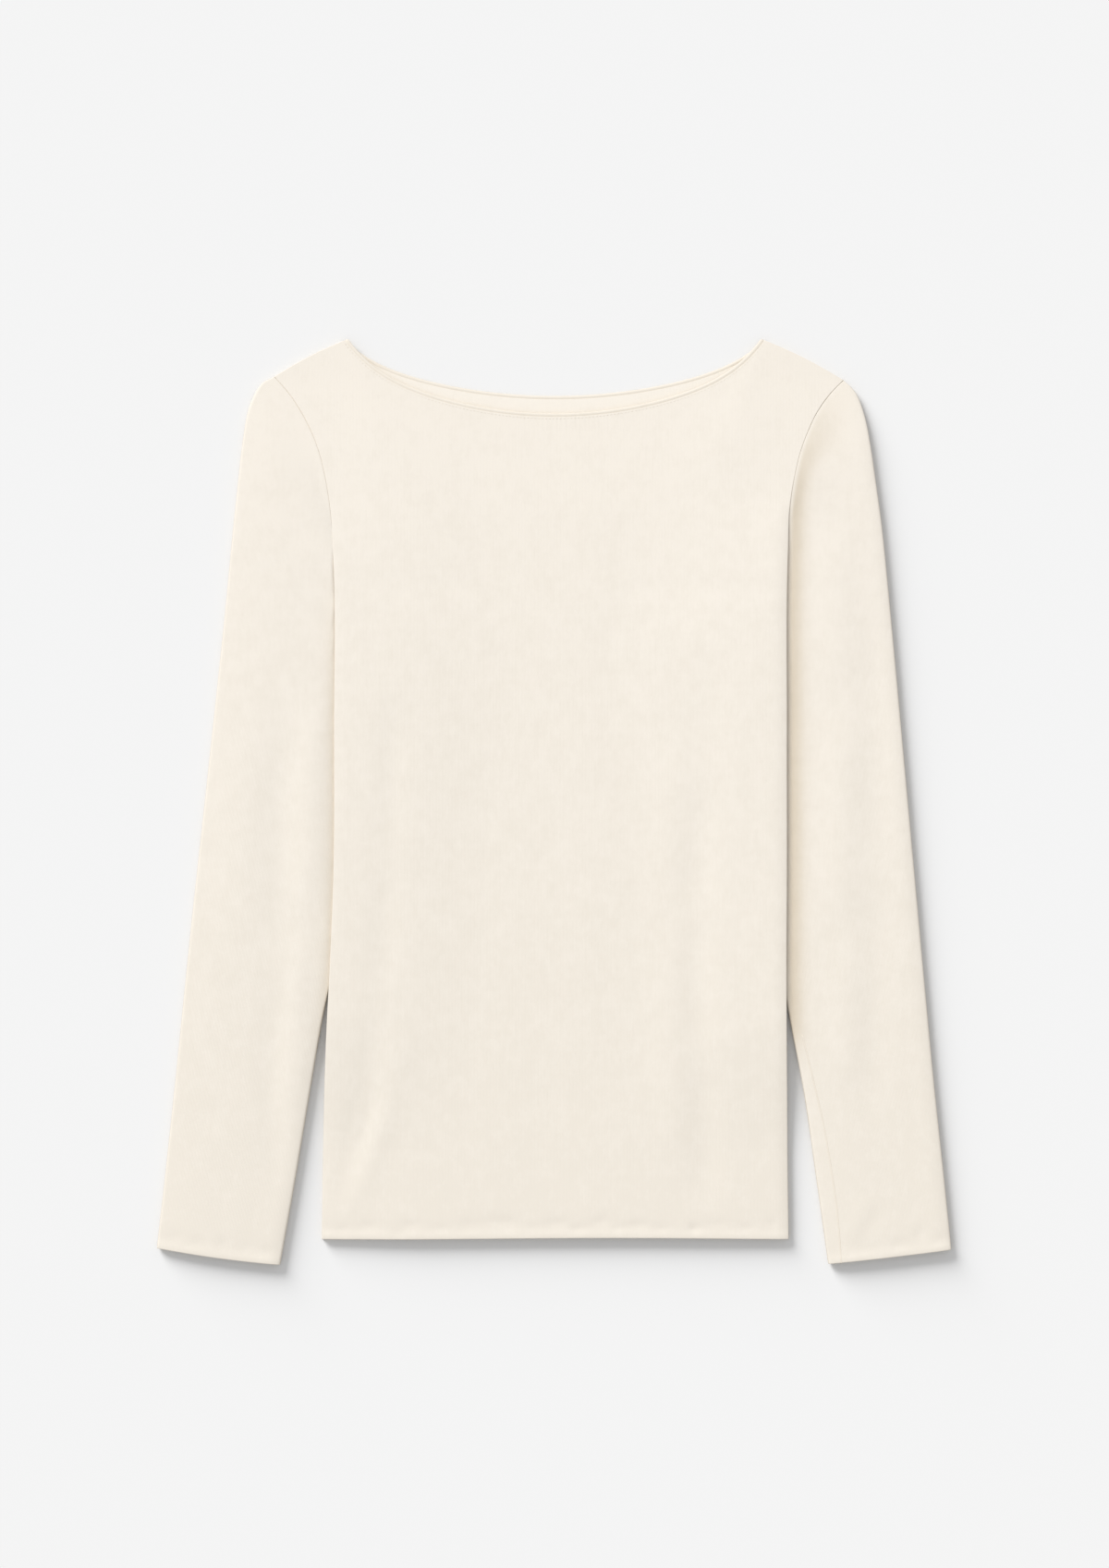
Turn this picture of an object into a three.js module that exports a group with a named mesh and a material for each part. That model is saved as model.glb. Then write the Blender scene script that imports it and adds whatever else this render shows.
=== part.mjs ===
// Thermal base layer top with long sleeves and a boat neck, laid flat and face up on a surface.
// Sizes are in millimetres. +X is the viewer's right, +Y runs from the hem to the neck and +Z is up.
// The origin is on the surface, under the middle of the garment's outline.
// Left and right in the names of the sleeves are the wearer's, so the right sleeve lies at -X.

import * as THREE from "three";

// Cloth
const CLOTH_WALL = 1.8;
const SEAM_GAP = 0.3;
const CREAM = 0xf3ecdf;
const CREAM_INSIDE = 0xf6efe3;

// Body
const HEM_Y = -301.8;
const SHOULDER_TIP = { leftX: -193.9, leftY: 294.7, rightX: 199.7, rightY: 292.2 };
const SHOULDER_BOW = 1.6;
const YOKE_Y = 245;
const PANEL_LOFT = 1.5;
const LOFT_RUN = 26;
const HEM_LIP_HEIGHT = 0.7;
const HEM_LIP_WIDTH = 6;

// Neck
const NECK_HALF_WIDTH = 144.6;
const FRONT_NECK = { y: 266.8, bow: 36.5, cornerRise: 16 };
const BACK_NECK = { y: 281.6, bow: 28, cornerRise: 10.4 };
const NECK_CORNER_POWER = 8;
const NECK_SLOPE_STEP = 0.5;
const CORNER_SEARCH = { before: 6, step: 0.05 };
const BINDING_WIDTH = 2.4;
const BINDING_HEIGHT = 2.1;
const BINDING_CORNERS = 8;

// Sleeves
const SLEEVE_INNER_GAP = 0.6;
const SLEEVE_FLAT_HEIGHT = 2 * CLOTH_WALL + SLEEVE_INNER_GAP;
const SLEEVE_LOFT = 1.5;
const SLEEVE_EDGE = 2;
const SLEEVE_LOFT_RUN = 16;
const LOFT_START = 5;
const LOFT_RISE = 12;
const ARMHOLE_CLEARANCE = 0.55;
const CUFF_LIP_HEIGHT = 0.5;
const CUFF_LIP_WIDTH = 5;
// Share of a sleeve's width, from its outer fold, past which the body's edge can lie on it.
const BODY_SIDE_SHARE = 0.3;

// The body's sides ride up over the parts of the sleeves that lie tucked beneath them.
const TUCK_CLEARANCE = 0.45;
const TUCK_LIFT = SLEEVE_FLAT_HEIGHT + TUCK_CLEARANCE;
const TUCK_MARGIN = 14;
const TUCK_RUN = 34;
const TUCK_TOP = { full: 200, none: 243 };
const TUCK_BOTTOM = { full: -162, none: -232 };

// Edges of the front and back panels from the hem up the sides and the armholes, without the shoulder tips.
const PANEL_EDGE_ROWS = [
  { y: -301.8, left: -161.0, right: 161.9 },
  { y: -250.0, left: -160.4, right: 162.5 },
  { y: -210.0, left: -159.6, right: 162.2 },
  { y: -165.0, left: -158.2, right: 161.6 },
  { y: -115.0, left: -155.6, right: 160.8 },
  { y: -50.0, left: -152.8, right: 160.6 },
  { y: 50.0, left: -152.3, right: 160.6 },
  { y: 171.8, left: -153.0, right: 161.3 },
  { y: 205.0, left: -155.3, right: 162.7 },
  { y: 225.0, left: -158.5, right: 165.9 },
  { y: 242.0, left: -162.6, right: 169.9 },
  { y: 257.0, left: -168.3, right: 175.4 },
  { y: 270.0, left: -175.0, right: 181.6 },
  { y: 283.0, left: -183.6, right: 190.9 },
  { y: 294.7, left: -193.9, right: 202.6 },
];

// Rows of a flattened sleeve from the armhole to the cuff: its outer fold, its inner fold, and how much
// of the armhole's curve the row keeps.
const RIGHT_SLEEVE_ROWS = [
  { outerX: -193.9, outerY: 294.7, innerX: -153.0, innerY: 171.8, curve: 1.0 },
  { outerX: -203.5, outerY: 288.8, innerX: -148.0, innerY: 162.0, curve: 0.85 },
  { outerX: -211.3, outerY: 273.5, innerX: -139.5, innerY: 150.5, curve: 0.7 },
  { outerX: -215.7, outerY: 250.0, innerX: -129.5, innerY: 136.5, curve: 0.5 },
  { outerX: -218.9, outerY: 222.0, innerX: -122.0, innerY: 118.0, curve: 0.3 },
  { outerX: -222.6, outerY: 187.0, innerX: -119.5, innerY: 95.0, curve: 0.12 },
  { outerX: -227.8, outerY: 133.0, innerX: -122.5, innerY: 60.0, curve: 0 },
  { outerX: -235.2, outerY: 63.0, innerX: -130.0, innerY: 12.0, curve: 0 },
  { outerX: -242.6, outerY: -5.0, innerX: -139.5, innerY: -42.0, curve: 0 },
  { outerX: -250.3, outerY: -75.0, innerX: -149.0, innerY: -99.0, curve: 0 },
  { outerX: -256.5, outerY: -135.0, innerX: -160.0, innerY: -148.0, curve: 0 },
  { outerX: -262.5, outerY: -194.0, innerX: -169.4, innerY: -202.0, curve: 0 },
  { outerX: -269.2, outerY: -256.0, innerX: -179.8, innerY: -264.0, curve: 0 },
  { outerX: -275.2, outerY: -308.4, innerX: -189.8, innerY: -320.0, curve: 0 },
];
const LEFT_SLEEVE_ROWS = [
  { outerX: 199.7, outerY: 292.2, innerX: 161.3, innerY: 171.8, curve: 1.0 },
  { outerX: 208.3, outerY: 283.2, innerX: 156.5, innerY: 162.0, curve: 0.85 },
  { outerX: 214.6, outerY: 266.5, innerX: 148.0, innerY: 150.5, curve: 0.7 },
  { outerX: 218.6, outerY: 246.5, innerX: 138.0, innerY: 136.5, curve: 0.5 },
  { outerX: 222.4, outerY: 221.0, innerX: 130.5, innerY: 118.0, curve: 0.3 },
  { outerX: 227.0, outerY: 187.0, innerX: 128.0, innerY: 95.0, curve: 0.12 },
  { outerX: 232.4, outerY: 133.0, innerX: 130.5, innerY: 60.0, curve: 0 },
  { outerX: 238.9, outerY: 63.0, innerX: 136.5, innerY: 12.0, curve: 0 },
  { outerX: 245.1, outerY: -5.0, innerX: 145.0, innerY: -42.0, curve: 0 },
  { outerX: 251.5, outerY: -75.0, innerX: 153.4, innerY: -99.0, curve: 0 },
  { outerX: 257.0, outerY: -135.0, innerX: 162.4, innerY: -148.0, curve: 0 },
  { outerX: 262.6, outerY: -194.0, innerX: 172.6, innerY: -202.0, curve: 0 },
  { outerX: 269.2, outerY: -256.0, innerX: 181.6, innerY: -264.0, curve: 0 },
  { outerX: 274.6, outerY: -309.4, innerX: 189.4, innerY: -319.4, curve: 0 },
];
const SLEEVE_STATIONS = [
  0, 0.5, 1, 1.5, 2, 2.5, 3, 3.5, 4, 5, 6, 7, 8, 9, 10, 11, 12, 12.6, 12.9, 13,
];
const SLEEVE_STEPS_ACROSS = 10;

// The two ends of a soft fold fade out, each over this part of its length.
const FOLD_TAPER_SHARE = 0.25;

// Soft folds in the front panel: a straight stretch of each, its half width, and its height above or
// below the cloth around it.
const FRONT_FOLDS = [
  { fromX: -104, fromY: 92, toX: -127, toY: -58, width: 17, height: -1.3 },
  { fromX: -127, fromY: -40, toX: -134, toY: -168, width: 15, height: -1.3 },
  { fromX: -132, fromY: -150, toX: -152, toY: -270, width: 12, height: -1.2 },
  { fromX: -108, fromY: -150, toX: -134, toY: -236, width: 13, height: 1.3 },
  { fromX: -126, fromY: -214, toX: -150, toY: -296, width: 10, height: 1.3 },
  { fromX: -96, fromY: 40, toX: -108, toY: -110, width: 20, height: 0.9 },
  { fromX: 101, fromY: 110, toX: 94, toY: -20, width: 18, height: -1.2 },
  { fromX: 94, fromY: 10, toX: 84, toY: -90, width: 16, height: -1.2 },
  { fromX: 84, fromY: -60, toX: 94, toY: -190, width: 15, height: -1.2 },
  { fromX: 93, fromY: -165, toX: 93, toY: -290, width: 15, height: -1.1 },
  { fromX: 122, fromY: 60, toX: 116, toY: -150, width: 18, height: 0.9 },
  { fromX: 3, fromY: -180, toX: 3, toY: -290, width: 18, height: -0.9 },
];
const RIGHT_SLEEVE_FOLDS = [
  { fromX: -198, fromY: 40, toX: -203, toY: -160, width: 11, height: -1.1 },
  { fromX: -203, fromY: -130, toX: -206, toY: -280, width: 10, height: -1.1 },
  { fromX: -178, fromY: -110, toX: -186, toY: -262, width: 9, height: 1.1 },
  { fromX: -168, fromY: 232, toX: -163, toY: 168, width: 7, height: 1.2 },
];
const LEFT_SLEEVE_FOLDS = [
  { fromX: 181, fromY: 220, toX: 183, toY: -190, width: 10, height: 1.1 },
  { fromX: 208, fromY: 130, toX: 209, toY: -60, width: 11, height: -1.1 },
  { fromX: 210, fromY: -30, toX: 204, toY: -240, width: 11, height: -1.1 },
  { fromX: 198, fromY: -308, toX: 220, toY: -272, width: 8, height: 1.1 },
];

// Stations of the panels: heights of the straight rows up to the yoke, and cells in the rest.
const PANEL_ROW_HEIGHTS = [
  HEM_Y, -297, -291, -275, -255, -235, -212, -187, -162, -132, -100, -70, -40,
  -10, 20, 50, 80, 108, 132, 153, 172, 188, 200, 215, 230, YOKE_Y,
];
const YOKE_CELLS = 7;
const SHOULDER_CELLS = 3;
const NECK_HALF_CELLS = 11;
const NECK_EVEN_SHARE = 0.6;

function mix(from, to, share) {
  return from + (to - from) * share;
}

// Runs smoothly from 0 to 1 as its argument does.
function ease(value) {
  const held = Math.min(1, Math.max(0, value));
  return held * held * (3 - 2 * held);
}

// Value of one column of a table at a place between its rows, along a smooth curve through them.
function columnAt(rows, column, place) {
  const last = rows.length - 1;
  const index = Math.min(last - 1, Math.max(0, Math.floor(place)));
  const share = place - index;
  const start = rows[index][column];
  const end = rows[index + 1][column];
  const startSlope = index > 0 ? (end - rows[index - 1][column]) / 2 : end - start;
  const endSlope = index < last - 1 ? (rows[index + 2][column] - start) / 2 : end - start;
  const square = share * share;
  const cube = square * share;
  return (
    (2 * cube - 3 * square + 1) * start +
    (cube - 2 * square + share) * startSlope +
    (3 * square - 2 * cube) * end +
    (cube - square) * endSlope
  );
}

// Place in a table, in rows, where its key column has a value; the column rises or falls all the way.
function placeOf(rows, key, value) {
  const rises = rows[rows.length - 1][key] > rows[0][key];
  for (let index = 0; index < rows.length - 1; index += 1) {
    const here = rows[index][key];
    const next = rows[index + 1][key];
    const reached = rises ? value <= next : value >= next;
    if (reached) {
      return index + Math.max(0, (value - here) / (next - here));
    }
  }
  return rows.length - 1;
}

function panelEdgeX(side, y) {
  const place = placeOf(PANEL_EDGE_ROWS, "y", y);
  const index = Math.min(PANEL_EDGE_ROWS.length - 2, Math.floor(place));
  const share = place - index;
  return mix(PANEL_EDGE_ROWS[index][side], PANEL_EDGE_ROWS[index + 1][side], share);
}

// Height of the soft folds at a place on a piece.
function foldHeight(folds, x, y) {
  let height = 0;
  for (const fold of folds) {
    const runX = fold.toX - fold.fromX;
    const runY = fold.toY - fold.fromY;
    const along = ((x - fold.fromX) * runX + (y - fold.fromY) * runY) / (runX * runX + runY * runY);
    const held = Math.min(1, Math.max(0, along));
    const away = Math.hypot(x - fold.fromX - held * runX, y - fold.fromY - held * runY);
    const taper = ease(held / FOLD_TAPER_SHARE) * ease((1 - held) / FOLD_TAPER_SHARE);
    height += fold.height * taper * Math.exp(-((away / fold.width) ** 2));
  }
  return height;
}

// How far the tucked part of a sleeve reaches in beneath the body's side at a height.
function tuckReach(side, y) {
  const rows = side === "left" ? RIGHT_SLEEVE_ROWS : LEFT_SLEEVE_ROWS;
  if (y > rows[0].innerY || y < rows[rows.length - 1].innerY) {
    return 0;
  }
  const hiddenX = columnAt(rows, "innerX", placeOf(rows, "innerY", y));
  const inward = side === "left" ? hiddenX - panelEdgeX(side, y) : panelEdgeX(side, y) - hiddenX;
  return Math.max(0, inward);
}

// Height of the back panel's underside above the surface.
function tuckLift(x, y) {
  const top = ease((TUCK_TOP.none - y) / (TUCK_TOP.none - TUCK_TOP.full));
  const bottom = ease((y - TUCK_BOTTOM.none) / (TUCK_BOTTOM.full - TUCK_BOTTOM.none));
  let across = 0;
  for (const side of ["left", "right"]) {
    const inward = Math.abs(x - panelEdgeX(side, y));
    const past = inward - tuckReach(side, y) - TUCK_MARGIN;
    across = Math.max(across, 1 - ease(past / TUCK_RUN));
  }
  return TUCK_LIFT * top * bottom * across;
}

// Extra thickness of a turned edge near its end.
function lip(distance, width, height) {
  return height * (1 - ease(distance / width));
}

// Space between the back panel's upper face and the front panel's underside.
function frontGap(x, y) {
  const inward = Math.min(x - panelEdgeX("left", y), panelEdgeX("right", y) - x);
  const open = ease(inward / LOFT_RUN);
  const loft = PANEL_LOFT + foldHeight(FRONT_FOLDS, x, y);
  return SEAM_GAP + open * Math.max(0, loft);
}

// Height of the neck's edge at a distance from the middle of the neck.
function neckY(neck, x) {
  const share = Math.abs(x) / NECK_HALF_WIDTH;
  return neck.y + neck.bow * share ** 2 + neck.cornerRise * share ** NECK_CORNER_POWER;
}

// The same edge moved down the panel, square to itself.
function neckInsetY(neck, x, inset) {
  const step = NECK_SLOPE_STEP;
  const slope = (neckY(neck, x + step) - neckY(neck, x - step)) / (2 * step);
  return neckY(neck, x) - inset * Math.hypot(1, slope);
}

// Where a panel's neck edge meets the shoulder line, by stepping out along the edge.
function neckCorner(side, neck, inset) {
  const sign = side === "left" ? -1 : 1;
  const tipX = SHOULDER_TIP[side + "X"];
  const tipY = SHOULDER_TIP[side + "Y"];
  const rise = (neckY(BACK_NECK, NECK_HALF_WIDTH) - tipY) / (sign * NECK_HALF_WIDTH - tipX);
  let x = sign * (NECK_HALF_WIDTH - CORNER_SEARCH.before);
  while (neckInsetY(neck, x, inset) < tipY + rise * (x - tipX)) {
    x += sign * CORNER_SEARCH.step;
  }
  return { x, y: neckInsetY(neck, x, inset) };
}

// Shares of the panel's width at its columns of points.
function columnShares() {
  const shares = [];
  const width = SHOULDER_TIP.rightX - SHOULDER_TIP.leftX;
  const leftCorner = (-NECK_HALF_WIDTH - SHOULDER_TIP.leftX) / width;
  const rightCorner = (NECK_HALF_WIDTH - SHOULDER_TIP.leftX) / width;
  for (let cell = 0; cell < SHOULDER_CELLS; cell += 1) {
    shares.push((leftCorner * cell) / SHOULDER_CELLS);
  }
  for (let cell = -NECK_HALF_CELLS; cell <= NECK_HALF_CELLS; cell += 1) {
    const even = cell / NECK_HALF_CELLS;
    const drawn = Math.sin((even * Math.PI) / 2);
    const across = mix(drawn, even, NECK_EVEN_SHARE);
    shares.push(mix(leftCorner, rightCorner, (across + 1) / 2));
  }
  for (let cell = 1; cell <= SHOULDER_CELLS; cell += 1) {
    shares.push(mix(rightCorner, 1, cell / SHOULDER_CELLS));
  }
  return shares;
}

// Points of a panel's top edge: shoulder, neck and shoulder.
function topEdge(shares, neck, inset) {
  const leftCorner = neckCorner("left", neck, inset);
  const rightCorner = neckCorner("right", neck, inset);
  const neckCells = 2 * NECK_HALF_CELLS;
  const first = shares[SHOULDER_CELLS];
  const last = shares[SHOULDER_CELLS + neckCells];
  return shares.map((share, index) => {
    if (index < SHOULDER_CELLS) {
      const along = index / SHOULDER_CELLS;
      const bow = SHOULDER_BOW * Math.sin(Math.PI * along);
      return {
        x: mix(SHOULDER_TIP.leftX, leftCorner.x, along),
        y: mix(SHOULDER_TIP.leftY, leftCorner.y, along) + bow,
      };
    }
    if (index > SHOULDER_CELLS + neckCells) {
      const along = (index - SHOULDER_CELLS - neckCells) / SHOULDER_CELLS;
      const bow = SHOULDER_BOW * Math.sin(Math.PI * along);
      return {
        x: mix(rightCorner.x, SHOULDER_TIP.rightX, along),
        y: mix(rightCorner.y, SHOULDER_TIP.rightY, along) + bow,
      };
    }
    const x = mix(leftCorner.x, rightCorner.x, (share - first) / (last - first));
    return { x, y: neckInsetY(neck, x, inset) };
  });
}

// Plan points of a panel, row by row from the hem to the top edge.
function panelPlan(neck, inset) {
  const shares = columnShares();
  const top = topEdge(shares, neck, inset);
  const rows = PANEL_ROW_HEIGHTS.map((y) =>
    shares.map((share) => ({ x: mix(panelEdgeX("left", y), panelEdgeX("right", y), share), y })),
  );
  const yoke = rows[rows.length - 1];
  for (let cell = 1; cell <= YOKE_CELLS; cell += 1) {
    const up = cell / YOKE_CELLS;
    const leftY = mix(YOKE_Y, SHOULDER_TIP.leftY, up);
    const rightY = mix(YOKE_Y, SHOULDER_TIP.rightY, up);
    const leftX = up < 1 ? panelEdgeX("left", leftY) : SHOULDER_TIP.leftX;
    const rightX = up < 1 ? panelEdgeX("right", rightY) : SHOULDER_TIP.rightX;
    const leftShift = leftX - mix(yoke[0].x, top[0].x, up);
    const rightShift = rightX - mix(yoke[shares.length - 1].x, top[shares.length - 1].x, up);
    rows.push(
      shares.map((share, index) => ({
        x: mix(yoke[index].x, top[index].x, up) + mix(leftShift, rightShift, share),
        y: mix(yoke[index].y, top[index].y, up),
      })),
    );
  }
  return rows;
}

// Closed wall between an upper and a lower sheet of points that share one plan.
function wallGeometry(plan, upperZ, lowerZ) {
  const rowCount = plan.length;
  const columnCount = plan[0].length;
  const positions = [];
  for (const height of [upperZ, lowerZ]) {
    for (const row of plan) {
      for (const point of row) {
        positions.push(point.x, point.y, height(point.x, point.y));
      }
    }
  }
  const upper = (row, column) => row * columnCount + column;
  const lower = (row, column) => rowCount * columnCount + row * columnCount + column;
  const faces = [];
  const quad = (a, b, c, d) => faces.push(a, b, c, a, c, d);
  for (let row = 0; row < rowCount - 1; row += 1) {
    for (let column = 0; column < columnCount - 1; column += 1) {
      quad(
        upper(row, column),
        upper(row, column + 1),
        upper(row + 1, column + 1),
        upper(row + 1, column),
      );
      faces.push(lower(row, column), lower(row + 1, column + 1), lower(row, column + 1));
      faces.push(lower(row, column), lower(row + 1, column), lower(row + 1, column + 1));
    }
  }
  for (let column = 0; column < columnCount - 1; column += 1) {
    const top = rowCount - 1;
    quad(lower(0, column), lower(0, column + 1), upper(0, column + 1), upper(0, column));
    quad(upper(top, column), upper(top, column + 1), lower(top, column + 1), lower(top, column));
  }
  for (let row = 0; row < rowCount - 1; row += 1) {
    const end = columnCount - 1;
    quad(upper(row, 0), upper(row + 1, 0), lower(row + 1, 0), lower(row, 0));
    quad(lower(row, end), lower(row + 1, end), upper(row + 1, end), upper(row, end));
  }
  return meshGeometry(positions, faces);
}

function meshGeometry(positions, faces) {
  const geometry = new THREE.BufferGeometry();
  geometry.setAttribute("position", new THREE.Float32BufferAttribute(positions, 3));
  geometry.setIndex(faces);
  geometry.computeVertexNormals();
  return geometry;
}

function backPanelGeometry() {
  const plan = panelPlan(BACK_NECK, BINDING_WIDTH + SEAM_GAP);
  return wallGeometry(plan, (x, y) => tuckLift(x, y) + CLOTH_WALL, tuckLift);
}

function frontPanelGeometry() {
  const plan = panelPlan(FRONT_NECK, 0);
  const underside = (x, y) => tuckLift(x, y) + CLOTH_WALL + frontGap(x, y);
  const face = (x, y) => underside(x, y) + CLOTH_WALL + lip(y - HEM_Y, HEM_LIP_WIDTH, HEM_LIP_HEIGHT);
  return wallGeometry(plan, face, underside);
}

// Joins rings of points, each with the same count, by faces that point away from the rings' insides.
function ringFaces(faces, firstRing, ringCount, pointCount, turned) {
  for (let ring = 0; ring < ringCount - 1; ring += 1) {
    for (let index = 0; index < pointCount; index += 1) {
      const next = (index + 1) % pointCount;
      const a = firstRing + ring * pointCount + index;
      const b = firstRing + ring * pointCount + next;
      const c = firstRing + (ring + 1) * pointCount + next;
      const d = firstRing + (ring + 1) * pointCount + index;
      if (turned) {
        faces.push(a, b, c, a, c, d);
      } else {
        faces.push(a, c, b, a, d, c);
      }
    }
  }
}

// Bound edge of the neck: a folded strip, solid through, made from the points of the panel's neck edge.
function bindingGeometry(neck, panelInset, bottomZ) {
  const corners = BINDING_CORNERS;
  const edge = topEdge(columnShares(), neck, panelInset).slice(SHOULDER_CELLS, -SHOULDER_CELLS);
  const apart = SEAM_GAP + BINDING_WIDTH / 2;
  const positions = [];
  edge.forEach((point, index) => {
    const before = edge[Math.max(0, index - 1)];
    const after = edge[Math.min(edge.length - 1, index + 1)];
    const length = Math.hypot(after.x - before.x, after.y - before.y);
    const outX = (before.y - after.y) / length;
    const outY = (after.x - before.x) / length;
    for (let corner = 0; corner < corners; corner += 1) {
      const turn = (2 * Math.PI * (corner + 0.5)) / corners;
      const out = apart + (Math.cos(turn) / Math.cos(Math.PI / corners)) * (BINDING_WIDTH / 2);
      const up = (Math.sin(turn) / Math.cos(Math.PI / corners)) * (BINDING_HEIGHT / 2);
      positions.push(point.x + out * outX, point.y + out * outY, bottomZ + BINDING_HEIGHT / 2 + up);
    }
  });
  const faces = [];
  ringFaces(faces, 0, edge.length, corners, true);
  const lastRing = (edge.length - 1) * corners;
  for (let corner = 1; corner < corners - 1; corner += 1) {
    faces.push(0, corner + 1, corner);
    faces.push(lastRing, lastRing + corner, lastRing + corner + 1);
  }
  return meshGeometry(positions, faces);
}

// Outer fold, inner fold and curve of a sleeve at a station.
function sleeveRow(rows, station) {
  const row = {};
  for (const column of ["outerX", "outerY", "innerX", "innerY", "curve"]) {
    row[column] = columnAt(rows, column, station);
  }
  return row;
}

// Place on a sleeve's row, at a share of the way from its outer to its inner fold.
function sleevePlace(side, row, share) {
  const armTop = SHOULDER_TIP[side + "Y"];
  const armBottom = RIGHT_SLEEVE_ROWS[0].innerY;
  const held = Math.min(1, Math.max(0, share));
  const seamY = mix(armTop, armBottom, held);
  const tipX = SHOULDER_TIP[side + "X"];
  const seamX = held > 0 ? panelEdgeX(side, seamY) : tipX;
  const chordX = mix(tipX, panelEdgeX(side, armBottom), held);
  const away = side === "left" ? -ARMHOLE_CLEARANCE : ARMHOLE_CLEARANCE;
  return {
    x: mix(row.outerX, row.innerX, share) + row.curve * (seamX - chordX + away),
    y: mix(row.outerY, row.innerY, share),
  };
}

// Height of a sleeve's upper face, which is flat where the body lies on it.
function sleeveTop(side, folds, row, share, x, y, cuffDistance) {
  const width = Math.hypot(row.outerX - row.innerX, row.outerY - row.innerY);
  const beside = side === "left" ? panelEdgeX(side, y) - x : x - panelEdgeX(side, y);
  const fromFold = Math.min(share, 1 - share) * width;
  const lainOn = y > TUCK_BOTTOM.full && share > BODY_SIDE_SHARE;
  const besideBody = lainOn ? ease((beside - LOFT_START) / LOFT_RISE) : 1;
  const open = ease((fromFold - SLEEVE_EDGE) / SLEEVE_LOFT_RUN) * besideBody;
  const loft = SLEEVE_LOFT + foldHeight(folds, x, y);
  const edge = lip(cuffDistance, CUFF_LIP_WIDTH, CUFF_LIP_HEIGHT);
  return SLEEVE_FLAT_HEIGHT + open * Math.max(0, loft) + edge;
}

// Two loops of one row of a sleeve, the outside of the cloth and its inside.
function sleeveLoops(side, rows, folds, station) {
  const row = sleeveRow(rows, station);
  const cuff = rows[rows.length - 1];
  const cuffDistance = Math.hypot(row.outerX - cuff.outerX, row.outerY - cuff.outerY);
  const width = Math.hypot(row.outerX - row.innerX, row.outerY - row.innerY);
  const radius = SLEEVE_FLAT_HEIGHT / 2;
  const inset = (distance) => CLOTH_WALL + (distance * (width - 2 * CLOTH_WALL)) / width;
  const outside = [];
  const inside = [];
  const add = (distance, outsideZ, insideZ) => {
    const place = sleevePlace(side, row, distance / width);
    const within = sleevePlace(side, row, inset(distance) / width);
    outside.push({ x: place.x, y: place.y, z: outsideZ });
    inside.push({ x: within.x, y: within.y, z: insideZ });
  };
  const half = SLEEVE_INNER_GAP / 2;
  const corner = radius * (1 - Math.SQRT1_2);
  const flat = (index) => mix(radius, width - radius, index / SLEEVE_STEPS_ACROSS);
  add(0, radius, radius);
  add(corner, radius * (1 + Math.SQRT1_2), radius + half * Math.SQRT1_2);
  for (let index = 0; index <= SLEEVE_STEPS_ACROSS; index += 1) {
    const distance = flat(index);
    const place = sleevePlace(side, row, distance / width);
    const z = sleeveTop(side, folds, row, distance / width, place.x, place.y, cuffDistance);
    add(distance, z, z - CLOTH_WALL);
  }
  add(width - corner, radius * (1 + Math.SQRT1_2), radius + half * Math.SQRT1_2);
  add(width, radius, radius);
  add(width - corner, radius * (1 - Math.SQRT1_2), radius - half * Math.SQRT1_2);
  for (let index = SLEEVE_STEPS_ACROSS; index >= 0; index -= 1) {
    add(flat(index), 0, CLOTH_WALL);
  }
  add(corner, radius * (1 - Math.SQRT1_2), radius - half * Math.SQRT1_2);
  return { outside, inside };
}

// Flattened tube of cloth, open at the armhole and at the cuff.
function sleeveGeometry(side, rows, folds) {
  const sections = SLEEVE_STATIONS.map((station) => sleeveLoops(side, rows, folds, station));
  const pointCount = sections[0].outside.length;
  const ringCount = sections.length;
  const positions = [];
  for (const layer of ["outside", "inside"]) {
    for (const section of sections) {
      for (const point of section[layer]) {
        positions.push(point.x, point.y, point.z);
      }
    }
  }
  const turned = side === "right";
  const insideStart = ringCount * pointCount;
  const faces = [];
  ringFaces(faces, 0, ringCount, pointCount, turned);
  ringFaces(faces, insideStart, ringCount, pointCount, !turned);
  for (const ring of [0, ringCount - 1]) {
    for (let index = 0; index < pointCount; index += 1) {
      const next = (index + 1) % pointCount;
      const a = ring * pointCount + index;
      const b = ring * pointCount + next;
      const c = insideStart + ring * pointCount + next;
      const d = insideStart + ring * pointCount + index;
      if ((ring === 0) === turned) {
        faces.push(a, c, b, a, d, c);
      } else {
        faces.push(a, b, c, a, c, d);
      }
    }
  }
  return meshGeometry(positions, faces);
}

function clothMaterial(colour) {
  return new THREE.MeshStandardMaterial({ color: colour, roughness: 0.9, metalness: 0 });
}

function piece(name, geometry, material) {
  const mesh = new THREE.Mesh(geometry, material);
  mesh.name = name;
  return mesh;
}

const outsideCloth = clothMaterial(CREAM);
const insideCloth = clothMaterial(CREAM_INSIDE);
const backInset = BINDING_WIDTH + SEAM_GAP;
const frontBindingZ = BINDING_HEIGHT + SEAM_GAP;

const top = new THREE.Group();
top.name = "thermal_top";
top.add(piece("back_panel", backPanelGeometry(), insideCloth));
top.add(piece("front_panel", frontPanelGeometry(), outsideCloth));
top.add(piece("right_sleeve", sleeveGeometry("left", RIGHT_SLEEVE_ROWS, RIGHT_SLEEVE_FOLDS), outsideCloth));
top.add(piece("left_sleeve", sleeveGeometry("right", LEFT_SLEEVE_ROWS, LEFT_SLEEVE_FOLDS), outsideCloth));
top.add(piece("back_neck_binding", bindingGeometry(BACK_NECK, backInset, 0), outsideCloth));
top.add(piece("front_neck_binding", bindingGeometry(FRONT_NECK, 0, frontBindingZ), outsideCloth));

export default top;
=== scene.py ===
import math

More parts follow.
